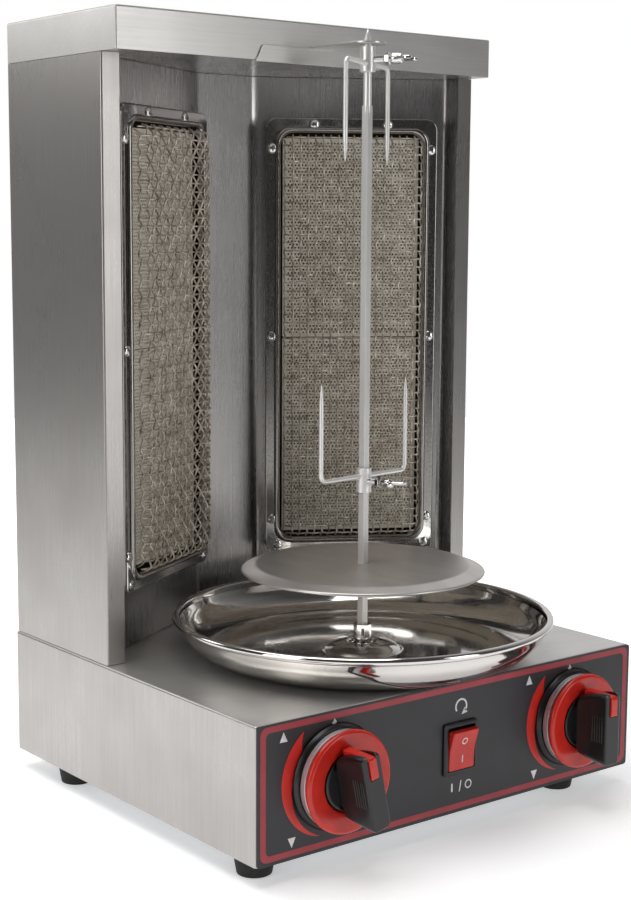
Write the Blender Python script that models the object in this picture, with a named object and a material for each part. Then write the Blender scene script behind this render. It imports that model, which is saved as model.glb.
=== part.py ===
"""Vertical rotisserie broiler, bench-top gas model.

Metres, +Z up, +Y towards the back.  The origin is on the table, under the
middle of the whole object.  Every piece hangs from one empty that stands under
the middle of the base box, so the sizes below are measured from that box.
"""

import math

import bmesh
import bpy
from mathutils import Matrix, Vector

MM = 0.001

# ---------------------------------------------------------------- driving sizes
GAP = 0.3 * MM                      # air left between two pieces that touch
SHEET = 1.0 * MM                    # stainless sheet of the casings
LINER_SHEET = 0.8 * MM              # sheet of the roasting cavity

LARGE_SIDES = 40                    # facets around the pan and the plate
KNOB_SIDES = 28                     # facets around knobs and the gearmotor
SMALL_SIDES = 16                    # facets around shafts, tubes and bushes

BASE_WIDTH = 290 * MM
BASE_DEPTH = 261.6 * MM
BASE_HEIGHT = 77.6 * MM
FOOT_HEIGHT = 12 * MM
FOOT_TOP_RADIUS = 12 * MM
FOOT_FLOOR_RADIUS = 9.8 * MM
FOOT_LEFT_X = -130 * MM
FOOT_RIGHT_X = 105 * MM
FOOT_FRONT_Y = -108 * MM
FOOT_BACK_Y = 82 * MM

COLUMN_WIDTH = 288 * MM
COLUMN_FRONT_Y = 20.5 * MM
COLUMN_HEIGHT = 357 * MM
STRIP_WIDTH = 12.3 * MM             # front flange of the column, each side
CAP_HEIGHT = 24.3 * MM
CAP_FRONT_Y = 4.2 * MM

CAVITY_MOUTH_X = 136 * MM           # the liner's bend behind each strip
CAVITY_BEND_Y = 38 * MM
CAVITY_BACK_X = 24 * MM             # the liner's bend at the back panel
CAVITY_BACK_Y = 102.5 * MM

BURNER_CENTRE_FROM_BACK = 64 * MM   # along the angled panel
BURNER_CENTRE_Z = 274 * MM
FRAME_PROUD = 10 * MM               # depth of the frame's side walls
FRAME_WALL = 1.2 * MM
FRAME_FLANGE = 10.2 * MM            # from the mesh opening to the frame's edge
MESH_WIDTH = 96 * MM
MESH_HEIGHT = 271.5 * MM
MESH_CORNER = 9 * MM
MESH_BULGE = 10.6 * MM
MESH_SHELL = 1.2 * MM
TILE_WIDTH = 92 * MM
TILE_HEIGHT = 132 * MM
TILE_DEPTH = 13 * MM
TILE_FRONT = 6.5 * MM               # the tiles' faces, proud of the angled panel
HOUSING_DEPTH = 28 * MM
HOUSING_SHEET = 1.2 * MM
VENTURI_RADIUS = 9 * MM
VENTURI_FROM_PANEL = 15 * MM
INJECTOR_RADIUS = 7 * MM
INJECTOR_TOP_Z = 62 * MM
INJECTOR_FOOT_Z = 46 * MM

SPIT_Y = -42.5 * MM
ROD_SIDE = 4.6 * MM                 # square part of the spit
ROD_TURN = math.radians(8.4)
ROD_FOOT_Z = 99.5 * MM
ROD_STEP_Z = 419.5 * MM
ROD_TOP_RADIUS = 2.45 * MM
ROD_POINT_Z = 457 * MM
ROD_TIP_Z = 463.6 * MM
PLATE_RADIUS = 74.5 * MM
PLATE_FLAT_RADIUS = 66 * MM
PLATE_TOP_Z = 144.8 * MM
PLATE_SHEET = 1.2 * MM
PLATE_RIM_DROP = 3.6 * MM

FORK_HALF_SPAN = 38 * MM
FORK_PRONG = 58 * MM
FORK_WIRE_RADIUS = 1.4 * MM
FORK_BAR_DROP = 2.5 * MM            # the bar, from the hub's middle towards the tips
FORK_HUB_RADIUS = 4.7 * MM
FORK_HUB_HEIGHT = 15 * MM
UPPER_FORK_Z = 446.3 * MM           # middle of the hub
LOWER_FORK_Z = 196.3 * MM
UPPER_FORK_TURN = math.radians(31)
BOLT_RADIUS = 2 * MM
BOLT_REACH = 29 * MM                # from the spit's axis to the wing's end
WING_HALF_SPAN = 8 * MM

PAN_RADIUS = 116.5 * MM
PAN_HEIGHT = 25 * MM
PAN_SHEET = 0.8 * MM
PAN_HOLE_RADIUS = 9 * MM
CUP_RADIUS = 5.5 * MM
CUP_TOP_Z = 107 * MM
DRIVE_SHAFT_RADIUS = 3.5 * MM

BRACKET_HALF_WIDTH = 48 * MM
BRACKET_HEIGHT = 10.5 * MM
BRACKET_SHEET = 1.2 * MM
BRACKET_TOP_Z = 456 * MM
TONGUE_ROOT_HALF = 8.5 * MM
TONGUE_TIP_HALF = 11 * MM
TONGUE_TIP_Y = -53.5 * MM
TONGUE_HOLE_RADIUS = 3.4 * MM

KNOB_X = 92 * MM
KNOB_Z = 52.5 * MM
KNOB_RING_RADIUS = 29 * MM
KNOB_RING_HOLE = 16.3 * MM
KNOB_PROUD = 35 * MM                # front of the grip, from the panel's face
GRIP_HALF_LENGTH = 22 * MM
GRIP_WIDTH = 12.5 * MM
STEM_RADIUS = 3 * MM
LEFT_KNOB_TURN = math.radians(12)   # anticlockwise, seen from the front
BEZEL_PROUD = 3.6 * MM
SKIRT_PROUD = 8.2 * MM
RING_PROUD = 13.4 * MM
POINTER_WIDTH = 5 * MM
POINTER_THICK = 2 * MM
POINTER_PROUD = 1.2 * MM            # beyond the grip's front face
POINTER_FACE_LOW = 8 * MM

SWITCH_Z = 51 * MM
SWITCH_WIDTH = 26 * MM
SWITCH_HEIGHT = 31 * MM
ROCKER_WIDTH = 19.6 * MM
ROCKER_HEIGHT = 24.4 * MM
ROCKER_TILT = math.radians(10)

MOTOR_RADIUS = 24.5 * MM
GEARBOX_RADIUS = 27 * MM
GEARBOX_TOP_Z = 60.7 * MM
INLET_REACH = 21 * MM               # gas inlet, behind the base
PIPE_RADIUS = 5 * MM
PIPE_Z = 29 * MM
GAS_TUBE_RADIUS = 3 * MM
VALVE_HALF = 11 * MM                # half the width of the tap body
VALVE_REACH = 26 * MM               # from the panel's face to the tap's back
INLET_X = -118 * MM
GLAND_X = 95 * MM
GLAND_Z = 40 * MM

# ------------------------------------------------------------ sizes that follow
BASE_TOP_Z = FOOT_HEIGHT + BASE_HEIGHT
BASE_FRONT_Y = -BASE_DEPTH / 2
BASE_BACK_Y = BASE_DEPTH / 2
PANEL_BACK_Y = BASE_FRONT_Y + SHEET
SHELL_FRONT_Y = PANEL_BACK_Y + GAP
COLUMN_FOOT_Z = BASE_TOP_Z + GAP
COLUMN_TOP_Z = COLUMN_FOOT_Z + COLUMN_HEIGHT - 2 * GAP
CAP_FOOT_Z = COLUMN_TOP_Z + GAP
CAP_TOP_Z = CAP_FOOT_Z + CAP_HEIGHT
PANEL_TURN = math.atan2(CAVITY_BACK_Y - CAVITY_BEND_Y, CAVITY_MOUTH_X - CAVITY_BACK_X)
BURNER_X = CAVITY_BACK_X + BURNER_CENTRE_FROM_BACK * math.cos(PANEL_TURN)
BURNER_Y = CAVITY_BACK_Y - BURNER_CENTRE_FROM_BACK * math.sin(PANEL_TURN)
VENTURI_X = BURNER_X + VENTURI_FROM_PANEL * math.sin(PANEL_TURN)
VENTURI_Y = BURNER_Y + VENTURI_FROM_PANEL * math.cos(PANEL_TURN)
FRAME_WIDTH = MESH_WIDTH + 2 * FRAME_FLANGE
FRAME_HEIGHT = MESH_HEIGHT + 2 * FRAME_FLANGE
VALVE_BACK_Y = BASE_FRONT_Y + VALVE_REACH
MANIFOLD_Y = VALVE_BACK_Y - 9 * MM
KNOB_TIP_Y = BASE_FRONT_Y - KNOB_PROUD - POINTER_PROUD
INLET_END_Y = BASE_BACK_Y + INLET_REACH
MIDDLE_Y = (min(KNOB_TIP_Y, SPIT_Y - PAN_RADIUS) + INLET_END_Y) / 2

SIDES = (("left", -1), ("right", 1))


# --------------------------------------------------------------- general helpers
def clear_scene():
    """Remove the objects that Blender starts with."""
    for found in list(bpy.data.objects):
        bpy.data.objects.remove(found, do_unlink=True)


def make_material(name, colour, roughness, metallic=0.0):
    """A Principled material in one plain colour."""
    material = bpy.data.materials.new(name)
    material.use_nodes = True
    shader = material.node_tree.nodes["Principled BSDF"]
    shader.inputs["Base Color"].default_value = (*colour, 1.0)
    shader.inputs["Roughness"].default_value = roughness
    shader.inputs["Metallic"].default_value = metallic
    return material


def make_empty(name, location, parent=None, turn=0.0):
    """An empty that carries the pieces of one assembly."""
    empty = bpy.data.objects.new(name, None)
    empty.location = location
    empty.rotation_euler = (0, 0, turn)
    empty.parent = parent
    bpy.context.scene.collection.objects.link(empty)
    return empty


def make_object(name, mesh, material, parent, location=(0, 0, 0), rotation=(0, 0, 0)):
    """Link one named piece under its parent."""
    mesh.materials.append(material)
    piece = bpy.data.objects.new(name, mesh)
    piece.location = location
    piece.rotation_euler = rotation
    piece.parent = parent
    bpy.context.scene.collection.objects.link(piece)
    return piece


def loft(name, loops, closed=False, smooth=True):
    """Skin a row of equal closed loops.

    A closed row joins its last loop to its first; an open one gets end caps.
    """
    count = len(loops[0])
    vertices = [point for loop in loops for point in loop]
    faces = []
    spans = len(loops) if closed else len(loops) - 1
    for row in range(spans):
        here = row * count
        there = ((row + 1) % len(loops)) * count
        for column in range(count):
            after = (column + 1) % count
            faces.append((here + column, here + after, there + after, there + column))
    if not closed:
        faces.append(tuple(range(count)))
        faces.append(tuple(range(len(vertices) - count, len(vertices))))
    mesh = bpy.data.meshes.new(name)
    mesh.from_pydata(vertices, [], faces)
    work = bmesh.new()
    work.from_mesh(mesh)
    bmesh.ops.recalc_face_normals(work, faces=work.faces)
    work.to_mesh(mesh)
    work.free()
    if smooth:
        mesh.shade_smooth()
        mesh.set_sharp_from_angle(angle=math.radians(35))
    return mesh


def circle(radius, height, segments):
    """Points of a level circle about the Z axis."""
    steps = (math.tau * index / segments for index in range(segments))
    return [Vector((radius * math.cos(a), radius * math.sin(a), height)) for a in steps]


def turned(name, profile, segments):
    """A turned solid: (radius, height) pairs that run from end to end."""
    return loft(name, [circle(radius, height, segments) for radius, height in profile])


def turned_ring(name, profile, segments):
    """A turned ring: (radius, height) pairs around a section clear of the axis."""
    loops = []
    for index in range(segments):
        spin = Matrix.Rotation(math.tau * index / segments, 4, "Z")
        loops.append([spin @ Vector((radius, 0, height)) for radius, height in profile])
    return loft(name, loops, closed=True)


def prism(name, outline, low, high, smooth=False):
    """An outline of (x, y) pairs drawn up from one height to another."""
    loops = [[Vector((x, y, z)) for x, y in outline] for z in (low, high)]
    return loft(name, loops, smooth=smooth)


def block(name, low, high):
    """A box between two corners."""
    outline = [(low[0], low[1]), (high[0], low[1]), (high[0], high[1]), (low[0], high[1])]
    return prism(name, outline, low[2], high[2])


def rounded_rectangle(half_width, half_height, radius, arc_steps=4):
    """(x, y) pairs around a rectangle with round corners."""
    points = []
    corners = ((1, 1, 0), (-1, 1, 90), (-1, -1, 180), (1, -1, 270))
    for sign_x, sign_y, start in corners:
        for step in range(arc_steps + 1):
            angle = math.radians(start + 90 * step / arc_steps)
            x = sign_x * (half_width - radius) + radius * math.cos(angle)
            y = sign_y * (half_height - radius) + radius * math.sin(angle)
            points.append((x, y))
    return points


def beside(path, distance):
    """The open (x, y) path moved sideways, to its left, with mitred corners."""
    moved = []
    for index, point in enumerate(path):
        here = Vector(point)
        runs = []
        if index > 0:
            runs.append((here - Vector(path[index - 1])).normalized())
        if index < len(path) - 1:
            runs.append((Vector(path[index + 1]) - here).normalized())
        normals = [Vector((-run.y, run.x)) for run in runs]
        middle = sum(normals, Vector((0, 0))).normalized()
        reach = distance / middle.dot(normals[0])
        moved.append(tuple(here + middle * reach))
    return moved


def folded_sheet(name, path, thickness, low, high):
    """A bent sheet that stands on edge along an open (x, y) path."""
    outline = list(path) + list(reversed(beside(path, thickness)))
    return prism(name, outline, low, high)


def face_forward(mesh):
    """Turn a mesh made along +Z so that it points to the front, -Y."""
    mesh.transform(Matrix.Rotation(math.radians(90), 4, "X"))
    return mesh


def hide_tool(piece):
    """Mark a cutter, or a half of a union, as a helper."""
    piece.hide_render = True
    piece.display_type = "WIRE"
    return piece


def combine(piece, tools, operation):
    """Add or take away each helper solid, in turn."""
    for tool in tools:
        hide_tool(tool)
        change = piece.modifiers.new(f"{operation.lower()} {tool.name}", "BOOLEAN")
        change.operation = operation
        change.object = tool
        change.solver = "EXACT"
    return piece


def cut(piece, tools):
    """Take helper solids away from a piece."""
    return combine(piece, tools, "DIFFERENCE")


def join(piece, tools):
    """Weld helper solids to a piece."""
    return combine(piece, tools, "UNION")


# ---------------------------------------------------------------------- materials
def make_materials():
    """The finishes, one for each kind of stock."""
    return {
        "brushed": make_material("brushed stainless sheet", (0.52, 0.51, 0.50), 0.35, 1.0),
        "polished": make_material("polished stainless", (0.70, 0.70, 0.70), 0.12, 1.0),
        "galvanised": make_material("galvanised steel", (0.55, 0.56, 0.57), 0.45, 1.0),
        "ceramic": make_material("cordierite ceramic", (0.72, 0.66, 0.55), 0.9),
        "wire": make_material("heat-tinted wire mesh", (0.30, 0.27, 0.23), 0.5, 1.0),
        "brass": make_material("machined brass", (0.72, 0.55, 0.25), 0.3, 1.0),
        "copper": make_material("drawn copper tube", (0.70, 0.38, 0.25), 0.35, 1.0),
        "panel": make_material("printed panel overlay", (0.03, 0.03, 0.035), 0.45),
        "black": make_material("black phenolic", (0.012, 0.012, 0.013), 0.35),
        "red": make_material("red moulded plastic", (0.60, 0.03, 0.02), 0.35),
        "rubber": make_material("black rubber", (0.015, 0.015, 0.015), 0.8),
        "zinc": make_material("zinc-plated motor case", (0.60, 0.60, 0.58), 0.4, 1.0),
    }


# --------------------------------------------------------------------------- base
def round_tool(name, radius, low, high, parent, location, forward=False):
    """A round cutter, upright or pointing to the front."""
    mesh = turned(name, [(radius, low), (radius, high)], SMALL_SIDES)
    if forward:
        face_forward(mesh)
    return make_object(name, mesh, bpy.data.materials[0], parent, location)


def box_tool(name, low, high, parent, location=(0, 0, 0), turn=0.0):
    """A box cutter."""
    mesh = block(name, low, high)
    return make_object(name, mesh, bpy.data.materials[0], parent, location, (0, 0, turn))


def front_holes(prefix, parent, stem_hole):
    """Cutters for what passes through the front: both stems and the switch."""
    reach = 4 * MM
    tools = []
    for side, sign in SIDES:
        place = (sign * KNOB_X, BASE_FRONT_Y, KNOB_Z)
        name = f"{prefix}_stem_cut_{side}"
        tools.append(round_tool(name, stem_hole, -reach, reach, parent, place, forward=True))
    half_x = SWITCH_WIDTH / 2 - 1.2 * MM + GAP
    half_z = SWITCH_HEIGHT / 2 - 1.2 * MM + GAP
    low = (-half_x, BASE_FRONT_Y - reach, SWITCH_Z - half_z)
    high = (half_x, BASE_FRONT_Y + reach, SWITCH_Z + half_z)
    tools.append(box_tool(f"{prefix}_switch_cut", low, high, parent))
    return tools


def make_base(root, finish):
    """The casing, its floor plate, its feet and the printed front panel."""
    half = BASE_WIDTH / 2
    shell_mesh = block("base_shell", (-half, SHELL_FRONT_Y, FOOT_HEIGHT), (half, BASE_BACK_Y, BASE_TOP_Z))
    shell = make_object("base_shell", shell_mesh, finish["brushed"], root)
    inside_low = (-half + SHEET, SHELL_FRONT_Y + SHEET, FOOT_HEIGHT - SHEET)
    inside_high = (half - SHEET, BASE_BACK_Y - SHEET, BASE_TOP_Z - SHEET)
    tools = [box_tool("base_inside", inside_low, inside_high, root)]
    tools += front_holes("shell", root, STEM_RADIUS + 2 * MM)
    through = 5 * MM
    tools.append(round_tool("bush_cut", 7 * MM, -through, through, root, (0, SPIT_Y, BASE_TOP_Z)))
    for side, sign in SIDES:
        place = (sign * VENTURI_X, VENTURI_Y, BASE_TOP_Z)
        hole = VENTURI_RADIUS + 3 * MM
        tools.append(round_tool(f"venturi_cut_{side}", hole, -through, through, root, place))
    inlet_place = (INLET_X, BASE_BACK_Y, PIPE_Z)
    tools.append(round_tool("inlet_cut", 6.8 * MM, -through, through, root, inlet_place, True))
    gland_place = (GLAND_X, BASE_BACK_Y, GLAND_Z)
    tools.append(round_tool("gland_cut", 6.3 * MM, -through, through, root, gland_place, True))
    cut(shell, tools)

    inset = SHEET + 2 * GAP
    floor_low = (-half + inset, SHELL_FRONT_Y + inset, FOOT_HEIGHT + GAP)
    floor_high = (half - inset, BASE_BACK_Y - inset, FOOT_HEIGHT + GAP + SHEET)
    floor_mesh = block("base_floor_plate", floor_low, floor_high)
    make_object("base_floor_plate", floor_mesh, finish["galvanised"], root)

    for depth_word, y in (("front", FOOT_FRONT_Y), ("back", FOOT_BACK_Y)):
        for side, x in (("left", FOOT_LEFT_X), ("right", FOOT_RIGHT_X)):
            name = f"foot_{depth_word}_{side}"
            profile = [(FOOT_FLOOR_RADIUS, 0), (FOOT_TOP_RADIUS, FOOT_HEIGHT)]
            foot_mesh = turned(name, profile, SMALL_SIDES)
            make_object(name, foot_mesh, finish["rubber"], root, (x, y, 0))

    panel_low = (-half, BASE_FRONT_Y, FOOT_HEIGHT)
    panel_high = (half, PANEL_BACK_Y, BASE_TOP_Z)
    panel_mesh = block("control_panel", panel_low, panel_high)
    panel = make_object("control_panel", panel_mesh, finish["panel"], root)
    cut(panel, front_holes("panel", root, STEM_RADIUS + 2 * MM))


# ------------------------------------------------------------------------- column
def make_column(root, finish):
    """The column's casing, the folded cavity liner, its ceiling and the cap."""
    half = COLUMN_WIDTH / 2
    column_path = [
        (half - STRIP_WIDTH, COLUMN_FRONT_Y),
        (half, COLUMN_FRONT_Y),
        (half, BASE_BACK_Y),
        (-half, BASE_BACK_Y),
        (-half, COLUMN_FRONT_Y),
        (-half + STRIP_WIDTH, COLUMN_FRONT_Y),
    ]
    column_mesh = folded_sheet("column_shell", column_path, SHEET, COLUMN_FOOT_Z, COLUMN_TOP_Z)
    make_object("column_shell", column_mesh, finish["brushed"], root)

    lip_y = COLUMN_FRONT_Y + SHEET + 2 * GAP
    liner_path = [
        (-CAVITY_MOUTH_X, lip_y),
        (-CAVITY_MOUTH_X, CAVITY_BEND_Y),
        (-CAVITY_BACK_X, CAVITY_BACK_Y),
        (CAVITY_BACK_X, CAVITY_BACK_Y),
        (CAVITY_MOUTH_X, CAVITY_BEND_Y),
        (CAVITY_MOUTH_X, lip_y),
    ]
    liner_mesh = folded_sheet("cavity_liner", liner_path, LINER_SHEET, COLUMN_FOOT_Z, COLUMN_TOP_Z)
    liner = make_object("cavity_liner", liner_mesh, finish["polished"], root)
    half_hole = MESH_WIDTH / 2 + 2 * MM
    half_tall = MESH_HEIGHT / 2 + 2 * MM
    tools = []
    for side, sign in SIDES:
        low = (-half_hole, -4 * MM, -half_tall)
        high = (half_hole, 4 * MM, half_tall)
        place = (sign * BURNER_X, BURNER_Y, BURNER_CENTRE_Z)
        tools.append(box_tool(f"burner_cut_{side}", low, high, root, place, -sign * PANEL_TURN))
    cut(liner, tools)

    inset = SHEET + GAP
    ceiling_low = (-half + inset, CAP_FRONT_Y + inset, CAP_FOOT_Z)
    ceiling_high = (half - inset, BASE_BACK_Y - inset, CAP_FOOT_Z + SHEET)
    ceiling_mesh = block("cavity_ceiling", ceiling_low, ceiling_high)
    make_object("cavity_ceiling", ceiling_mesh, finish["galvanised"], root)

    cap_mesh = block("top_cap", (-half, CAP_FRONT_Y, CAP_FOOT_Z), (half, BASE_BACK_Y, CAP_TOP_Z))
    cap = make_object("top_cap", cap_mesh, finish["brushed"], root)
    hollow_low = (-half + SHEET, CAP_FRONT_Y + SHEET, CAP_FOOT_Z - SHEET)
    hollow_high = (half - SHEET, BASE_BACK_Y - SHEET, CAP_TOP_Z - SHEET)
    cut(cap, [box_tool("cap_inside", hollow_low, hollow_high, root)])


def make_bracket(root, finish):
    """The spit's top bearing: a strip on the cap with a tongue bent forward."""
    back_y = CAP_FRONT_Y - GAP
    face_y = back_y - BRACKET_SHEET
    low_z = BRACKET_TOP_Z - BRACKET_HEIGHT
    ogee = []
    for step in range(7):
        share = step / 6
        sweep = (1 - math.cos(math.pi * share)) / 2
        ogee.append((BRACKET_HALF_WIDTH - 6 * MM * share, low_z + 1.5 * MM + 8.5 * MM * sweep))
    right = [(BRACKET_HALF_WIDTH, low_z)] + ogee
    outline = right + [(-x, z) for x, z in reversed(right)]
    strip_mesh = prism("top_bracket", outline, 0, BRACKET_SHEET)
    strip_mesh.transform(Matrix.Rotation(math.radians(90), 4, "X"))
    strip = make_object("top_bracket", strip_mesh, finish["brushed"], root, (0, back_y, 0))

    tongue = [(TONGUE_ROOT_HALF, back_y), (-TONGUE_ROOT_HALF, back_y)]
    tip_centre_y = TONGUE_TIP_Y + TONGUE_TIP_HALF
    for step in range(11):
        angle = math.pi + math.pi * step / 10
        x = TONGUE_TIP_HALF * math.cos(angle)
        y = tip_centre_y + TONGUE_TIP_HALF * math.sin(angle)
        tongue.append((x, y))
    tongue_mesh = prism("bracket_tongue", tongue, BRACKET_TOP_Z - BRACKET_SHEET, BRACKET_TOP_Z)
    tongue_half = make_object("bracket_tongue", tongue_mesh, finish["brushed"], root)
    join(strip, [tongue_half])
    spot = (0, SPIT_Y, BRACKET_TOP_Z)
    cut(strip, [round_tool("tongue_cut", TONGUE_HOLE_RADIUS, -4 * MM, 4 * MM, root, spot)])


# ------------------------------------------------------------------------ burners
def upright_loop(points, depth):
    """(x, z) pairs as a loop at one depth; local -Y faces the spit."""
    return [Vector((x, depth, z)) for x, z in points]


def make_burner_frame(name, parent, finish):
    """The pressed frame around the mesh: a shallow tray with a flange and a round bead."""
    edge = FRAME_FLANGE
    level = FRAME_PROUD
    flat = level + 1.5 * MM
    section = (
        (0, level + 1.8 * MM), (0.5 * MM, level + 3.3 * MM), (2 * MM, level + 4.2 * MM),
        (3.6 * MM, level + 3.3 * MM), (4.5 * MM, flat), (edge - 0.8 * MM, flat), (edge, flat - 0.8 * MM),
        (edge, GAP), (edge - FRAME_WALL, GAP), (edge - FRAME_WALL, level + GAP), (0, level + GAP),
    )
    loops = []
    for grow, height in section:
        corner = MESH_CORNER + 0.3 * grow
        points = rounded_rectangle(MESH_WIDTH / 2 + grow, MESH_HEIGHT / 2 + grow, corner, 3)
        loops.append(upright_loop(points, -height))
    mesh = loft(name, loops, closed=True)
    make_object(name, mesh, finish["polished"], parent)


def make_burner_mesh(name, parent, finish):
    """The domed wire screen, here as one thin dished shell."""
    half_width = MESH_WIDTH / 2 - 2 * GAP
    half_height = MESH_HEIGHT / 2 - 2 * GAP
    dome = ((0, 0.34), (1.6 * MM, 0.70), (5.5 * MM, 0.89), (12 * MM, 0.97), (30 * MM, 1.0))
    back = MM - FRAME_PROUD

    def layer(shell):
        """One skin of the dome, moved in by a distance."""
        loops = []
        for inward, share in ((0, None), *dome):
            inset = inward + shell
            depth = back if share is None else shell - FRAME_PROUD - share * MESH_BULGE
            points = rounded_rectangle(half_width - inset, half_height - inset, MESH_CORNER - shell, 3)
            loops.append(upright_loop(points, depth))
        return loops

    mesh = loft(name, list(reversed(layer(0))) + layer(MESH_SHELL))
    make_object(name, mesh, finish["wire"], parent)


def make_burner_housing(name, parent, finish):
    """The plenum box behind the tiles, with a flange against the liner's back."""
    front = LINER_SHEET + GAP
    wall = HOUSING_SHEET
    inner_x = TILE_WIDTH / 2 + 2 * GAP
    inner_z = TILE_HEIGHT + 3 * GAP
    flange_x = FRAME_WIDTH / 2
    flange_z = FRAME_HEIGHT / 2
    sizes = (
        (flange_x, flange_z, front),
        (flange_x, flange_z, front + wall),
        (inner_x + wall, inner_z + wall, front + wall),
        (inner_x + wall, inner_z + wall, front + HOUSING_DEPTH),
    )
    loops = [upright_loop(rounded_rectangle(x, z, 3 * MM, 1), depth) for x, z, depth in sizes]
    mesh = loft(name, loops)
    housing = make_object(name, mesh, finish["galvanised"], parent)
    low = (-inner_x, front - wall, -inner_z)
    high = (inner_x, front + HOUSING_DEPTH - wall, inner_z)
    hollow = box_tool(f"{name}_inside", low, high, parent)
    place = (0, VENTURI_FROM_PANEL, -inner_z)
    neck = round_tool(f"{name}_neck_cut", VENTURI_RADIUS - SHEET, -5 * MM, 5 * MM, parent, place)
    cut(housing, [hollow, neck])


def make_tiles(side, parent, finish):
    """Two perforated infrared tiles, one above the other, just behind the mesh."""
    front = -TILE_FRONT
    for word, sign in (("lower", -1), ("upper", 1)):
        name = f"ceramic_tile_{word}_{side}"
        near = GAP
        far = GAP + TILE_HEIGHT
        low_z, high_z = sorted((sign * near, sign * far))
        mesh = block(name, (-TILE_WIDTH / 2, front, low_z), (TILE_WIDTH / 2, front + TILE_DEPTH, high_z))
        make_object(name, mesh, finish["ceramic"], parent)


def make_venturi(name, parent, finish):
    """The mixing tube from the injector up to the plenum, open at both ends."""
    top = -TILE_HEIGHT - 3 * GAP - HOUSING_SHEET - GAP
    mouth = INJECTOR_TOP_Z + 4 * MM - BURNER_CENTRE_Z
    radius = VENTURI_RADIUS
    outside = [
        (radius + 2 * MM, mouth), (radius - MM, mouth + 11 * MM), (radius, mouth + 24 * MM), (radius, top),
    ]
    inside = [(r - SHEET, z) for r, z in reversed(outside)]
    mesh = turned_ring(name, outside + inside, SMALL_SIDES)
    make_object(name, mesh, finish["galvanised"], parent, (0, VENTURI_FROM_PANEL, 0))


def make_burners(root, finish):
    """Both burners; each hangs from an empty at the middle of its angled panel."""
    for side, sign in SIDES:
        place = (sign * BURNER_X, BURNER_Y, BURNER_CENTRE_Z)
        panel = make_empty(f"burner_place_{side}", place, root, -sign * PANEL_TURN)
        make_burner_frame(f"burner_frame_{side}", panel, finish)
        make_burner_mesh(f"burner_mesh_{side}", panel, finish)
        make_burner_housing(f"burner_housing_{side}", panel, finish)
        make_tiles(side, panel, finish)
        make_venturi(f"venturi_{side}", panel, finish)


# ---------------------------------------------------------------------- gas train
def make_valve(side, sign, root, finish):
    """A tap body behind the front sheet, bored for its stem."""
    neck_end = -(BASE_FRONT_Y - SHELL_FRONT_Y - SHEET - GAP)
    body_front = neck_end + 3 * MM
    body_back = VALVE_BACK_Y - BASE_FRONT_Y
    name = f"gas_valve_{side}"
    mesh = block(name, (-VALVE_HALF, body_front, -VALVE_HALF), (VALVE_HALF, body_back, VALVE_HALF))
    place = (sign * KNOB_X, BASE_FRONT_Y, KNOB_Z)
    valve = make_object(name, mesh, finish["brass"], root, place)
    neck_radius = STEM_RADIUS + 3.5 * MM
    neck = round_tool(f"valve_neck_{side}", neck_radius, -body_front - MM, -neck_end, root, place, True)
    join(valve, [neck])
    bore = STEM_RADIUS + GAP
    bore_tool = round_tool(f"valve_bore_{side}", bore, -neck_end - 9 * MM, 0, root, place, True)
    cut(valve, [bore_tool])


def make_injector(side, sign, root, finish):
    """The brass jet under the mixing tube."""
    name = f"injector_{side}"
    profile = [
        (INJECTOR_RADIUS, INJECTOR_FOOT_Z), (INJECTOR_RADIUS, INJECTOR_TOP_Z - 6 * MM),
        (4.5 * MM, INJECTOR_TOP_Z - 4 * MM), (3.5 * MM, INJECTOR_TOP_Z), (1.2 * MM, INJECTOR_TOP_Z),
    ]
    mesh = turned(name, profile, 12)
    make_object(name, mesh, finish["brass"], root, (sign * VENTURI_X, VENTURI_Y, 0))


def make_gas_tube(side, sign, root, finish):
    """The small tube from the valve's back to the injector's side."""
    height = INJECTOR_FOOT_Z + 4 * MM
    start = Vector((sign * KNOB_X, VALVE_BACK_Y + GAP, height))
    end = Vector((sign * VENTURI_X, VENTURI_Y - INJECTOR_RADIUS - GAP, height))
    sag = 8 * MM
    count = 12
    line = bpy.data.curves.new(f"gas_tube_{side}", "CURVE")
    line.dimensions = "3D"
    line.bevel_depth = GAS_TUBE_RADIUS
    line.bevel_resolution = 2
    line.use_fill_caps = True
    spline = line.splines.new("POLY")
    spline.points.add(count)
    for index in range(count + 1):
        point = start.lerp(end, index / count)
        from_end = min(index, count - index)
        ease = min(1.0, max(0, from_end - 1) / 3)
        point.z -= sag * (1 - math.cos(math.pi * ease)) / 2
        spline.points[index].co = (*point, 1)
    make_object(f"gas_tube_{side}", line, finish["copper"], root)


def make_manifold(root, finish):
    """The rail under both valves and its run to the inlet at the back."""
    reach = KNOB_X + VALVE_HALF
    rail_mesh = turned("gas_manifold", [(PIPE_RADIUS, -reach), (PIPE_RADIUS, reach)], 12)
    rail_mesh.transform(Matrix.Rotation(math.radians(90), 4, "Y"))
    rail = make_object("gas_manifold", rail_mesh, finish["galvanised"], root, (0, MANIFOLD_Y, PIPE_Z))
    elbow_mesh = block("manifold_elbow", (INLET_X - 7 * MM, -7 * MM, -7 * MM), (-reach + 3 * MM, 7 * MM, 7 * MM))
    elbow = make_object("manifold_elbow", elbow_mesh, finish["galvanised"], root, (0, MANIFOLD_Y, PIPE_Z))
    run_end = MANIFOLD_Y - (BASE_BACK_Y - SHEET - 9 * MM)
    place = (INLET_X, MANIFOLD_Y, PIPE_Z)
    run = round_tool("manifold_run", PIPE_RADIUS, run_end, -4 * MM, root, place, True)
    stub_top = KNOB_Z - VALVE_HALF - GAP
    stubs = []
    for side, sign in SIDES:
        place = (sign * KNOB_X, MANIFOLD_Y, 0)
        stubs.append(round_tool(f"manifold_stub_{side}", 4 * MM, PIPE_Z, stub_top, root, place))
    join(rail, [elbow, run, *stubs])


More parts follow.
